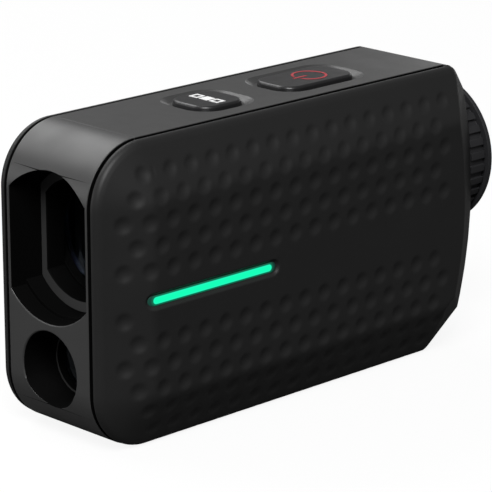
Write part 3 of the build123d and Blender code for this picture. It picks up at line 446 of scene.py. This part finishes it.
def ribbed_tpe():
    """Thermoplastic elastomer of the eyepiece ring: dull, slightly dusty black."""
    return textured("ribbed_tpe", finishes().ring, roughness=0.6, grain=0.3, depth=0.005)


def anodised_aluminium():
    """Turned aluminium, bead-blasted and anodised black: it catches light as soft grey."""
    return textured("anodised_aluminium", finishes().metal, roughness=0.7, grain=0.2, depth=0.002,
                    Metallic=0.3)


def coated_glass():
    """Optical glass with a multi-layer coating: dark, with a faint blue-grey reflection."""
    return new_material("coated_glass", finishes().glass, roughness=0.02, IOR=1.52,
                        Transmission_Weight=1.0)[0]


def print_ink(name, base):
    """Pad-printed ink: an even matt film."""
    return textured(name, base, roughness=0.6, grain=0.2, depth=0.002)


def bare_steel():
    """Zinc-plated steel of screws, cans and pins: a clean grey shine."""
    return textured("bare_steel", finishes().steel, roughness=0.35, grain=0.3, depth=0.002,
                    Metallic=1.0)


def solder_mask():
    """Green solder mask over a fibreglass board, with its weave faintly showing."""
    base = finishes().mask
    made, tree, shader = new_material("solder_mask", base, roughness=0.35)
    where = add_node(tree, "ShaderNodeTexCoord")
    weave = add_node(tree, "ShaderNodeTexChecker", {"Vector": where.outputs["Object"],
                                                    "Color1": base,
                                                    "Color2": finishes().mask_weave,
                                                    "Scale": 1 / WEAVE})
    tree.links.new(weave.outputs["Color"], shader.inputs["Base Color"])
    return made


def chip_epoxy():
    """Moulded epoxy of chip packages and switches: dull near-black."""
    return textured("chip_epoxy", finishes().epoxy, roughness=0.55, grain=0.2, depth=0.004)


def grey_acetal():
    """Acetal of the switch plungers: waxy light grey."""
    return textured("grey_acetal", finishes().acetal, roughness=0.4, grain=0.3, depth=0.002)


def lamp_phosphor():
    """Yellow phosphor under the clear lid of a lamp."""
    return textured("lamp_phosphor", finishes().phosphor, roughness=0.3, grain=0.2, depth=0.002)


def pouch_foil():
    """Aluminium laminate of a pouch cell, with shallow wrinkles 4 mm apart in place of grain."""
    return textured("pouch_foil", finishes().foil, roughness=0.3, grain=4.0, depth=0.15,
                    Metallic=0.8)


def paint_nodes(materials):
    """Puts a material on CAD nodes that are shown as they are."""
    for node, material in materials.items():
        data = frame["nodes"][node].data
        data.materials.clear()
        data.materials.append(material)


def lit_light_guide():
    """Diffusing acrylic light guide, lit from behind: bright in its middle, darker at its edges."""
    light = bpy.context.scene.rangefinder_light
    made, tree, shader = new_material("lit_light_guide", light.edge, roughness=0.3)
    where = add_node(tree, "ShaderNodeTexCoord")
    offset = add_node(tree, "ShaderNodeVectorMath", {0: where.outputs["Object"],
                                                     1: light_centre(light)},
                      operation="SUBTRACT")
    parts = add_node(tree, "ShaderNodeSeparateXYZ", {"Vector": offset.outputs[0]})
    along = add_node(tree, "ShaderNodeMath", {0: parts.outputs["Y"]}, operation="ABSOLUTE")
    past_end = add_node(tree, "ShaderNodeMath", {0: along.outputs[0],
                                                 1: light.lit_length - light.lit_height},
                        operation="SUBTRACT")
    over = add_node(tree, "ShaderNodeMath", {0: past_end.outputs[0], 1: 0.0}, operation="MAXIMUM")
    flat = add_node(tree, "ShaderNodeCombineXYZ", {"Y": over.outputs[0], "Z": parts.outputs["Z"]})
    away = add_node(tree, "ShaderNodeVectorMath", {0: flat.outputs[0]}, operation="LENGTH")
    share = add_node(tree, "ShaderNodeMath", {0: away.outputs["Value"], 1: 2 * light.lit_height},
                     operation="DIVIDE")
    glow = add_node(tree, "ShaderNodeValToRGB", {"Fac": share.outputs[0]})
    ramp = glow.color_ramp
    ramp.elements[0].color, ramp.elements[1].color = light.core, light.edge
    # The lit part ends half way along the ramp.
    for stop, shade in ((0.34, light.core), (0.42, light.rim), (0.5, light.rim),
                        (0.58, light.halo)):
        ramp.elements.new(stop).color = shade
    tree.links.new(glow.outputs["Color"], shader.inputs["Emission Color"])
    shader.inputs["Emission Strength"].default_value = light.strength
    return made


# ---------------------------------------------------------------- grip covers
def straight_side(first, second, draw, soft):
    """One straight side of the outline, with the inside to the left of its direction."""
    along = (second - first).normalized()
    return {"point": first, "normal": Vector((along.y, -along.x)), "draw": draw, "soft": soft}


def arc_side(centre, radius, start, end, draw, soft):
    """One round side of the outline, from one angle to another."""
    return {"centre": centre, "radius": radius, "start": start, "end": end, "draw": draw,
            "soft": soft}


def rounding(before, after, radius):
    """The round side that turns one straight side into the next, tangent to both."""
    start = math.atan2(before["normal"].y, before["normal"].x)
    end = math.atan2(after["normal"].y, after["normal"].x)
    offsets = Matrix((before["normal"], after["normal"]))
    reaches = [side["point"].dot(side["normal"]) - radius for side in (before, after)]
    centre = offsets.inverted() @ Vector(reaches)
    return arc_side(centre, radius, start, end, (before["draw"] + after["draw"]) / 2,
                    before["soft"])


def circle_through(first, second, third):
    """Centre and radius of the circle through three places."""
    a, b = second - first, third - first
    across = 2 * (a.x * b.y - a.y * b.x)
    lift = Vector((b.y * a.length_squared - a.y * b.length_squared,
                   a.x * b.length_squared - b.x * a.length_squared)) / across
    return first + lift, lift.length


def outline_sides(cover):
    """The sides of the covers' outline, going round from the bottom, as (Y, Z) places."""
    front, top = COVER_LOW.y, COVER_HIGH.z
    radius = cover.corner_radius
    heel = Vector((BACK - cover.heel_rear, cover.heel_height))
    shoulder = Vector((BACK - cover.shoulder_rear, top - cover.shoulder_drop))
    rear_centre, rear_radius = circle_through(heel, Vector((BACK, cover.back_height)), shoulder)
    heel_angle = math.atan2(*reversed(heel - rear_centre))
    shoulder_angle = math.atan2(*reversed(shoulder - rear_centre))
    soft, sharp = cover.soft_break, cover.sharp_break
    draw = cover.facet_draw
    slope = straight_side(shoulder, Vector((BACK - cover.top_rear, top)), cover.shoulder_draw,
                          sharp)
    top_edge = straight_side(Vector((BACK, top)), Vector((front, top)), draw, soft)
    return [
        straight_side(Vector((front, 0)), Vector((BACK, 0)), draw, soft),
        straight_side(Vector((BACK - cover.bottom_rear, 0)), heel, cover.heel_draw, sharp),
        arc_side(rear_centre, rear_radius, heel_angle, shoulder_angle, cover.rear_draw, sharp),
        slope,
        rounding(slope, top_edge, cover.top_rounding),
        top_edge,
        arc_side(Vector((front + radius, top - radius)), radius, math.pi / 2, math.pi, draw,
                 soft),
        straight_side(Vector((front, top)), Vector((front, 0)), draw, soft),
        arc_side(Vector((front + radius, radius)), radius, math.pi, 1.5 * math.pi, draw, soft),
    ]


def depth_inside(side, place):
    """How far a place lies inside one side, or None where a round corner doesn't reach it."""
    if "centre" not in side:
        return (side["point"] - place).dot(side["normal"])
    arm = place - side["centre"]
    middle = (side["start"] + side["end"]) / 2
    out = Vector((math.cos(middle), math.sin(middle)))
    if arm.dot(out) < arm.length * math.cos((side["end"] - side["start"]) / 2):
        return None
    return side["radius"] - arm.length


def tangents(side, inset):
    """Places and outward normals of the straight cuts that shape one side, moved inwards."""
    if "centre" not in side:
        return [(side["point"] - inset * side["normal"], side["normal"])]
    steps = max(LEAST_ARC_STEPS, round(math.degrees(side["end"] - side["start"]) / ARC_STEP))
    found = []
    for step in range(steps + 1):
        angle = side["start"] + (side["end"] - side["start"]) * step / steps
        out = Vector((math.cos(angle), math.sin(angle)))
        found.append((side["centre"] + (side["radius"] - inset) * out, out))
    return found


def soft_lower(first, second, reach):
    """The lower of two heights, blended over a reach where they cross."""
    overlap = max(reach - abs(first - second), 0) / reach
    return min(first, second) - overlap * overlap * reach / 4


def skin_height(place, cover, sides):
    """X of the cover's skin over a (Y, Z) place, before its dimples."""
    face_x = COVER_HIGH.x
    wall_top = COVER_LOW.x + cover.rim_wall
    rise = face_x - wall_top
    lowest = face_x
    for side in sides:
        depth = depth_inside(side, place)
        if depth is not None:
            facet = wall_top + rise * depth / side["draw"]
            lowest = min(lowest, soft_lower(facet, face_x, side["soft"]))
    return lowest


def unrolled(place, cover):
    """A (Y, Z) place as station and height measured along the facets, as if laid out flat."""
    front, top = COVER_LOW.y, COVER_HIGH.z
    rise = COVER_HIGH.x - COVER_LOW.x - cover.rim_wall
    stretch = math.hypot(cover.facet_draw, rise) / cover.facet_draw
    draw = cover.facet_draw
    station, height = place.x - front, place.y
    over = max(0, height - (top - draw)) * stretch
    along = draw - (draw - station) * stretch if station < draw else station
    up = draw - (draw - height) * stretch if height < draw else min(height, top - draw) + over
    if station > cover.corner_radius:
        along -= cover.lean * over
    return along, up


def dimple_drop(place, cover, is_left):
    """How far the skin dips at a (Y, Z) place for the dimple that is nearest to it."""
    along, up = unrolled(place, cover)
    row = round((cover.top_row - up) / cover.row_pitch)
    start = cover.first_dimple - (row % 2) * cover.dimple_pitch / 2
    count = round((along - start) / cover.dimple_pitch)
    dimple_along = start + count * cover.dimple_pitch
    dimple_up = cover.top_row - row * cover.row_pitch
    is_bare_row = is_left and cover.bare_first <= row <= cover.bare_last
    is_corner_row = row < cover.corner_above or row > cover.corner_below
    row_start = cover.corner_start if is_corner_row else cover.row_start
    if (count > cover.last_dimple or row < cover.first_row or dimple_along < row_start
            or is_bare_row and dimple_along > cover.bare_start):
        return 0
    away = math.hypot(along - dimple_along, up - dimple_up) / cover.dimple_radius
    return cover.dimple_depth * (1 - away * away) ** cover.dimple_power if away < 1 else 0


def clipped_grid(cell, inset, sides):
    """A flat grid over the outline, cut off a little inside it."""
    wide, tall = (BACK - COVER_LOW.y) / 2, (COVER_HIGH.z - COVER_LOW.z) / 2
    lay = Matrix(((0, 0, 1, 0), (wide, 0, 0, COVER_LOW.y + wide), (0, tall, 0, COVER_LOW.z + tall),
                  (0, 0, 0, 1)))
    bm = bmesh.new()
    bmesh.ops.create_grid(bm, x_segments=round(2 * wide / cell), y_segments=round(2 * tall / cell),
                          size=1, matrix=lay)
    for side in sides:
        for point, out in tangents(side, inset):
            bmesh.ops.bisect_plane(bm, geom=bm.verts[:] + bm.edges[:] + bm.faces[:],
                                   dist=CUT_REACH, plane_co=(0, point.x, point.y),
                                   plane_no=(0, out.x, out.y), clear_outer=True)
    bmesh.ops.remove_doubles(bm, verts=bm.verts, dist=CUT_MERGE_REACH)
    return bm


def outward(place, inset, cuts):
    """The move that carries a place on the inset outline out by one unit, square to its sides."""
    normals = [out for point, out in cuts if abs((point - place).dot(out)) < ON_CUT]
    if not normals:
        nearest = min(cuts, key=lambda cut: abs((cut[0] - place).dot(cut[1])))
        return nearest[1].copy()
    total = sum(normals, Vector((0, 0)))
    return total / total.dot(normals[0]) if len(normals) > 1 else normals[0].copy()


def rim_profile(cover, slope):
    """The rim's section, from the facet to the foot of the wall, as (depth inside, X) pairs."""
    rim_x = FRAME_SIDE + cover.gap
    wall_top = COVER_LOW.x + cover.rim_wall
    radius = cover.rim_radius
    centre_x = wall_top + slope * radius - radius * math.hypot(1, slope)
    start = math.atan(slope)
    section = []
    for step in range(RIM_STEPS + 1):
        angle = start + (math.pi / 2 - start) * step / RIM_STEPS
        section.append((radius * (1 - math.sin(angle)), centre_x + radius * math.cos(angle)))
    lip = cover.lip_radius
    for step in range(LIP_STEPS + 1):
        angle = math.pi / 2 * step / LIP_STEPS
        section.append((lip * (1 - math.cos(angle)), rim_x + lip * (1 - math.sin(angle))))
    section.append((cover.thickness, rim_x))
    return [(depth + cover.set_back, height) for depth, height in section]


def open_edges(bm):
    """The edges round the open border of a mesh."""
    return [edge for edge in bm.edges if edge.is_boundary]


def add_rim(bm, cover, sides):
    """Turns the border of the skin over its rounded rim and down the wall to its inner lip."""
    cuts = [cut for side in sides for cut in tangents(side, cover.rim_band)]
    start = bm.verts.layers.float_vector.new("start")
    move = bm.verts.layers.float_vector.new("move")
    edges = open_edges(bm)
    wall_top = COVER_LOW.x + cover.rim_wall
    for vert in {vert for edge in edges for vert in edge.verts}:
        place = Vector(vert.co.yz)
        out = outward(place, cover.rim_band, cuts)
        vert[start] = (place.x, place.y, (vert.co.x - wall_top) / cover.rim_band)
        vert[move] = (out.x, out.y, 0)
    rings = len(rim_profile(cover, 0))
    for ring in range(rings):
        made = bmesh.ops.extrude_edge_only(bm, edges=edges)["geom"]
        for item in made:
            # The rings down in the gap take the painted shade.
            if isinstance(item, bmesh.types.BMFace) and ring >= rings - SHADE_PAINTED_RINGS:
                item.material_index = 1
        edges = [item for item in made if isinstance(item, bmesh.types.BMEdge)]
        for vert in [item for item in made if isinstance(item, bmesh.types.BMVert)]:
            depth, height = rim_profile(cover, vert[start][2])[ring]
            reach = cover.rim_band - depth
            vert.co = (height, vert[start][0] + reach * vert[move][0],
                       vert[start][1] + reach * vert[move][1])
    return edges


def add_inside(bm, lip, cover, sides):
    """Closes the cover with a plain inner skin behind its lip."""
    inner = clipped_grid(cover.inner_cell, cover.thickness, sides)
    for vert in inner.verts:
        vert.co.x = skin_height(Vector(vert.co.yz), cover, sides) - cover.thickness
    mesh = bpy.data.meshes.new("inside")
    inner.to_mesh(mesh)
    inner.free()
    before = set(bm.edges)
    bm.from_mesh(mesh)
    bpy.data.meshes.remove(mesh)
    border = [edge for edge in bm.edges if edge not in before and edge.is_boundary]
    bmesh.ops.bridge_loops(bm, edges=lip + border)


def slot_place(share, radius, straight):
    """A place on a slot's outline, at a share of the way round it."""
    arc = math.pi * radius
    half, along = divmod(share * 2 * (arc + 2 * straight), arc + 2 * straight)
    if along < arc:
        angle = along / radius - math.pi / 2
        place = Vector((straight + radius * math.cos(angle), radius * math.sin(angle)))
    else:
        place = Vector((straight - (along - arc), radius))
    return -place if half == 1 else place


def slot_loop(bm, margin, depth, cover, sides):
    """A loop of edges round the light bar, at a margin from it and a depth under the skin."""
    light = bpy.context.scene.rangefinder_light
    centre = light_centre(light)
    radius = light.half_height + margin
    straight = light.half_length - light.half_height
    verts = bmesh.ops.create_circle(bm, segments=SLOT_STEPS, radius=1)["verts"]
    for vert in verts:
        share = math.atan2(vert.co.y, vert.co.x) / math.tau % 1
        place = slot_place(share, radius, straight) + centre.yz
        vert.co = (skin_height(place, cover, sides) - depth, place.x, place.y)
    return list({edge for vert in verts for edge in vert.link_edges})


def slot_distance(place):
    """How far a (Y, Z) place is from the edge of the light bar, negative inside it."""
    light = bpy.context.scene.rangefinder_light
    centre = light_centre(light)
    reach = light.half_length - light.half_height
    nearest = Vector((min(max(place.x, centre.y - reach), centre.y + reach), centre.z))
    return (place - nearest).length - light.half_height


def add_light_slot(bm, cover, sides):
    """Opens the slot of the light bar and dishes the skin down to it."""
    light = bpy.context.scene.rangefinder_light
    hole = light.margin + 2 * cover.cell
    inside = [face for face in bm.faces
              if slot_distance(Vector(face.calc_center_median().yz)) < hole]
    bmesh.ops.delete(bm, geom=inside, context="FACES")
    border = [edge for edge in bm.edges if edge.is_boundary
              and slot_distance((edge.verts[0].co.yz + edge.verts[1].co.yz) / 2) < 3 * hole]
    loops = [(light.margin + cover.cell / 2, 0)]
    for step in range(DISH_STEPS + 1):
        share = step / DISH_STEPS
        drop = (1 - math.cos(math.pi * share)) / 2
        loops.append((light.margin * (1 - share), light.recess * drop))
    loops.append((0, cover.thickness))
    for margin, depth in loops:
        ring = slot_loop(bm, margin, depth, cover, sides)
        bmesh.ops.bridge_loops(bm, edges=border + ring)
        border = ring


def cover_mesh(name, is_left):
    """The skin, rim and inside of one grip cover."""
    cover = bpy.context.scene.rangefinder_cover
    sides = outline_sides(cover)
    bm = clipped_grid(cover.cell, cover.rim_band, sides)
    for vert in bm.verts:
        place = Vector(vert.co.yz)
        vert.co.x = skin_height(place, cover, sides) - dimple_drop(place, cover, is_left)
    lip = add_rim(bm, cover, sides)
    if is_left:
        add_light_slot(bm, cover, sides)
    add_inside(bm, lip, cover, sides)
    if not is_left:
        bmesh.ops.scale(bm, vec=(-1, 1, 1), verts=bm.verts)
    bmesh.ops.recalc_face_normals(bm, faces=bm.faces)
    return to_mesh(name, bm, COVER_SMOOTH_ANGLE)


class RANGEFINDER_OT_grip_covers(bpy.types.Operator):
    """Model both dimpled grip covers"""
    bl_idname = "rangefinder.grip_covers"
    bl_label = "Grip covers"

    def execute(self, context):
        material, shade_paint = soft_touch_tpu(), painted_shade_material()
        for side in ("left", "right"):
            mesh = cover_mesh(side + "_cover_skin", side == "left")
            piece = finish_piece(side + "_cover_skin", mesh, material, side + "_grip_cover")
            # The second material is the painted shade on the rim's wall in the gap.
            piece.data.materials.append(shade_paint)
        return {"FINISHED"}


def paint_shade_on_faces(piece, shade_paint, is_lined):
    """Puts the painted shade, as a second material, on the faces that pass a test."""
    piece.data.materials.append(shade_paint)
    for face in piece.data.polygons:
        if is_lined(face):
            face.material_index = 1


def is_side_wall(face):
    """Whether a face of the centre frame lies down in a gap beside a cover."""
    return abs(face.center.x) > FRAME_SIDE - ON_FACE and abs(face.normal.x) > SIDE_FACING


def opening_test(node):
    """A test for the walls and steps of the opening round a ring, which take the painted shade."""
    edges = bpy.context.scene.rangefinder_edge
    low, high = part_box(node)
    height, reach = (low.z + high.z) / 2, (high.z - low.z) / 2 + edges.shade_margin

    def is_in_opening(face):
        arm = Vector((face.center.x, 0, face.center.z - height))
        is_deep = face.center.y > cad_low.y + edges.shade_depth
        leans_in = face.normal.dot(arm) < -WALL_LEAN
        is_wall = leans_in and (is_deep or face.normal.y > -EDGE_FACING)
        return arm.length < reach and (is_wall or is_deep and face.normal.y < -STEP_FACING)
    return is_in_opening


class RANGEFINDER_OT_centre_frame(bpy.types.Operator):
    """Finish the bezel, the plates and the rear cover"""
    bl_idname = "rangefinder.centre_frame"
    bl_label = "Centre frame"

    def execute(self, context):
        edges = context.scene.rangefinder_edge
        paint, shade_paint = satin_painted_abs(), painted_shade_material()
        openings = [opening_test(node) for node in ("objective_hood", "laser_lock_ring")]
        for node in ("front_bezel", "top_plate", "bottom_plate", "rear_cover"):
            is_dished = node == "top_plate"
            piece = frame_piece(node, paint, edges.dish if is_dished else edges.frame,
                                edges.dish_angle if is_dished else EDGE_ANGLE)
            # Painted shade goes on the frame's walls down in the gaps and on the walls of the
            # openings.
            tests = [is_side_wall] + (openings if node == "front_bezel" else [])
            paint_shade_on_faces(piece, shade_paint, lambda face: any(test(face) for test in tests))
        return {"FINISHED"}


class RANGEFINDER_OT_controls(bpy.types.Operator):
    """Finish the two buttons and their print"""
    bl_idname = "rangefinder.controls"
    bl_label = "Buttons"

    def execute(self, context):
        cap = satin_button_abs()
        for node in ("mode_button", "power_button"):
            carried_piece(node, cap, context.scene.rangefinder_edge.button)
        paint_nodes({"mode_symbol": print_ink("white_ink", finishes().white_print),
                     "power_symbol": print_ink("red_ink", finishes().red_print)})
        return {"FINISHED"}


class RANGEFINDER_OT_optics(bpy.types.Operator):
    """Finish the objective and the laser window"""
    bl_idname = "rangefinder.optics"
    bl_label = "Optics"

    def execute(self, context):
        edge = context.scene.rangefinder_edge.optics
        metal, glass = anodised_aluminium(), coated_glass()
        black, shade_paint = moulded_abs(), painted_shade_material()
        for node in ("objective_hood", "laser_lock_ring"):
            ring = carried_piece(node, metal, edge)
            # Painted shade on every face of the rings that doesn't look forward, and on the lock
            # ring inside the objective.
            paint_shade_on_faces(ring, shade_paint, lambda face: face.normal.y > -RING_FACING)
        for node, material in (("objective_lock_ring", shade_paint), ("laser_tube", black),
                               ("objective_barrel", black)):
            carried_piece(node, material, edge)
        for node in ("objective_front_lens", "objective_rear_lens", "laser_lens"):
            carried_piece(node, glass)
        return {"FINISHED"}


class RANGEFINDER_OT_light_bar(bpy.types.Operator):
    """Model the lit bar in the left cover"""
    bl_idname = "rangefinder.light_bar"
    bl_label = "Light bar"

    def execute(self, context):
        cover = context.scene.rangefinder_cover
        light = context.scene.rangefinder_light
        sides = outline_sides(cover)
        bm = bmesh.new()
        border = slot_loop(bm, 0, light.recess + light.body, cover, sides)
        # Each pair: how far outside the bar's edge, and how far under its recessed face.
        for margin, under in ((0, 0.08), (-0.1, 0), (-0.4, -0.03), (-0.8, -0.05)):
            ring = slot_loop(bm, margin * MM, light.recess + under * MM, cover, sides)
            bmesh.ops.bridge_loops(bm, edges=border + ring)
            border = ring
        bmesh.ops.triangle_fill(bm, use_beauty=True, edges=border)
        bmesh.ops.holes_fill(bm, edges=open_edges(bm))
        bmesh.ops.recalc_face_normals(bm, faces=bm.faces)
        mesh = to_mesh("light_guide", bm)
        finish_piece("light_guide", mesh, lit_light_guide(), "light_bar")
        return {"FINISHED"}


class RANGEFINDER_OT_eyepiece(bpy.types.Operator):
    """Finish the eyepiece ring and its lenses"""
    bl_idname = "rangefinder.eyepiece"
    bl_label = "Eyepiece"

    def execute(self, context):
        edges = context.scene.rangefinder_edge
        rubber, metal, glass = ribbed_tpe(), anodised_aluminium(), coated_glass()
        for node in ("diopter_ring", "eyecup_rim"):
            carried_piece(node, rubber, edges.eyepiece)
        for node in ("eyepiece_tube", "ocular_cell", "lens_spacer", "ocular_lock_ring"):
            carried_piece(node, metal, edges.optics)
        for node in ("eye_lens", "field_lens"):
            carried_piece(node, glass)
        return {"FINISHED"}


class RANGEFINDER_OT_charging_port(bpy.types.Operator):
    """Finish the port cover, its pin and the socket"""
    bl_idname = "rangefinder.charging_port"
    bl_label = "Charging port"

    def execute(self, context):
        edges = context.scene.rangefinder_edge
        carried_piece("port_cover", ribbed_tpe(), edges.port)
        steel = bare_steel()
        carried_piece("port_cover_pin", steel)
        carried_piece("usb_socket", steel, edges.socket)
        return {"FINISHED"}


class RANGEFINDER_OT_inside(bpy.types.Operator):
    """Give every inner piece its own finish"""
    bl_idname = "rangefinder.inside"
    bl_label = "Inside"

    def execute(self, context):
        makers = {
            moulded_abs: ["chassis", "left_side_shell", "right_side_shell", "prism_housing",
                          "display_holder"],
            ribbed_tpe: ["rear_seal"],
            coated_glass: ["penta_prism", "roof_prism", "display_panel"],
            bare_steel: ["bezel_screws", "shell_screws", "tube_screws", "vibration_motor",
                         "laser_diode", "receiver_diode", "vibration_weight"],
            solder_mask: ["light_board", "button_board", "laser_board", "receiver_board",
                          "main_board", "usb_board"],
            chip_epoxy: ["board_chips", "mode_switch", "power_switch"],
            grey_acetal: ["mode_plunger", "power_plunger"],
            lamp_phosphor: ["light_leds"],
            pouch_foil: ["battery_cell"],
        }
        for make, nodes in makers.items():
            material = make()
            paint_nodes({node: material for node in nodes})
        return {"FINISHED"}


# ---------------------------------------------------------------- studio
def softbox(name, stand, target, size, power):
    """A rectangular area lamp that stands at a place and looks at a target."""
    lamp = bpy.data.lights.new(name, "AREA")
    lamp.energy = power
    lamp.shape = "RECTANGLE"
    lamp.size, lamp.size_y = size
    made = bpy.data.objects.new(name, lamp)
    bpy.context.scene.collection.objects.link(made)
    made.location = stand
    made.rotation_euler = (target - Vector(stand)).to_track_quat("-Z", "Y").to_euler()
    return made


class RANGEFINDER_OT_studio(bpy.types.Operator):
    """Set up the floor, the lamps, the world and the camera"""
    bl_idname = "rangefinder.studio"
    bl_label = "Studio"

    def execute(self, context):
        studio = context.scene.rangefinder_studio
        self.floor(studio)
        self.world(studio)
        centre = (cad_low + cad_high) / 2
        for name, stand, size, watts in (
                ("overhead", (0.45, -0.5, 0.74), (0.45, 0.45), studio.overhead_power),
                ("right", (-0.69, -0.05, 0.69), (1.0, 0.4), studio.right_power),
                ("front", (-0.62, -0.7, 0.16), (0.5, 0.3), studio.front_power),
                ("rear", (-0.35, 0.9, 0.12), (0.7, 0.3), studio.rear_power)):
            softbox(name + "_softbox", stand, centre, size, watts)
        self.camera(studio)
        context.scene.view_settings.view_transform = "Standard"
        return {"FINISHED"}

    def floor(self, studio):
        """A round pale floor that shows near white and keeps the shadow."""
        bm = bmesh.new()
        bmesh.ops.create_circle(bm, cap_ends=True, segments=64, radius=studio.floor_radius)
        mesh = bpy.data.meshes.new("floor")
        bm.to_mesh(mesh)
        bm.free()
        floor = bpy.data.objects.new("floor", mesh)
        floor.location.z = cad_low.z - studio.floor_gap
        bpy.context.scene.collection.objects.link(floor)
        made, tree, shader = new_material("floor_paper", studio.floor, 0.9)
        seen = add_node(tree, "ShaderNodeLightPath")
        shade = add_node(tree, "ShaderNodeMix", {0: seen.outputs["Is Camera Ray"],
                                                 6: studio.unseen_floor, 7: studio.floor},
                         data_type="RGBA")
        tree.links.new(shade.outputs[2], shader.inputs["Base Color"])
        white = add_node(tree, "ShaderNodeEmission", {"Color": (1, 1, 1, 1), "Strength": 1.0})
        share = add_node(tree, "ShaderNodeMath", {0: seen.outputs["Is Camera Ray"],
                                                  1: studio.floor_glow}, operation="MULTIPLY")
        mix = add_node(tree, "ShaderNodeMixShader", {0: share.outputs[0], 1: shader.outputs[0],
                                                     2: white.outputs[0]})
        tree.links.new(mix.outputs[0], tree.nodes["Material Output"].inputs["Surface"])
        mesh.materials.append(made)

    def world(self, studio):
        """A soft grey room that shows white behind the object."""
        world = bpy.data.worlds.new("studio")
        bpy.context.scene.world = world
        world.use_nodes = True
        tree = world.node_tree
        seen = add_node(tree, "ShaderNodeLightPath")
        mirrored = add_node(tree, "ShaderNodeMath", {0: seen.outputs["Is Glossy Ray"],
                                                     1: seen.outputs["Is Transmission Ray"]},
                            operation="MAXIMUM")
        lit = add_node(tree, "ShaderNodeMapRange", {"Value": mirrored.outputs[0],
                                                    "To Min": studio.world_strength,
                                                    "To Max": studio.reflected_white})
        strength = add_node(tree, "ShaderNodeMapRange", {"Value": seen.outputs["Is Camera Ray"],
                                                         "To Min": lit.outputs["Result"],
                                                         "To Max": 1.0})
        background = tree.nodes["Background"]
        background.inputs["Color"].default_value = (1, 1, 1, 1)
        tree.links.new(strength.outputs["Result"], background.inputs["Strength"])

    def camera(self, studio):
        """A long lens in front, to the left and above."""
        data = bpy.data.cameras.new("camera")
        data.lens = studio.lens
        data.sensor_width = studio.sensor
        camera = bpy.data.objects.new("camera", data)
        bpy.context.scene.collection.objects.link(camera)
        right, up = Vector(studio.camera_right), Vector(studio.camera_up)
        turned = Matrix((right, up, right.cross(up))).transposed().to_4x4()
        camera.matrix_world = Matrix.Translation(studio.camera_place) @ turned
        bpy.context.scene.camera = camera


class RANGEFINDER_PT_panel(bpy.types.Panel):
    """The rangefinder's operators, in order"""
    bl_label = "Rangefinder"
    bl_space_type = "VIEW_3D"
    bl_region_type = "UI"
    bl_category = "Rangefinder"

    def draw(self, context):
        for operator in OPERATORS:
            self.layout.operator(operator.bl_idname)


SETTINGS = {
    "rangefinder_cover": CoverSettings,
    "rangefinder_light": LightSettings,
    "rangefinder_edge": EdgeSettings,
    "rangefinder_finish": FinishSettings,
    "rangefinder_studio": StudioSettings,
}
OPERATORS = (
    RANGEFINDER_OT_inside,
    RANGEFINDER_OT_grip_covers,
    RANGEFINDER_OT_centre_frame,
    RANGEFINDER_OT_controls,
    RANGEFINDER_OT_optics,
    RANGEFINDER_OT_light_bar,
    RANGEFINDER_OT_eyepiece,
    RANGEFINDER_OT_charging_port,
    RANGEFINDER_OT_studio,
)


def register():
    """Registers the classes and hangs the settings on the scene."""
    for kind in (*SETTINGS.values(), *OPERATORS, RANGEFINDER_PT_panel):
        bpy.utils.register_class(kind)
    for name, kind in SETTINGS.items():
        setattr(bpy.types.Scene, name, PointerProperty(type=kind))


def unregister():
    """Takes the settings and the classes away again."""
    for name in SETTINGS:
        delattr(bpy.types.Scene, name)
    for kind in (RANGEFINDER_PT_panel, *reversed(OPERATORS), *SETTINGS.values()):
        bpy.utils.unregister_class(kind)


def main():
    """Runs every operator in order."""
    register()
    for operator in OPERATORS:
        group, name = operator.bl_idname.split(".")
        getattr(getattr(bpy.ops, group), name)()


if __name__ == "__main__":
    main()
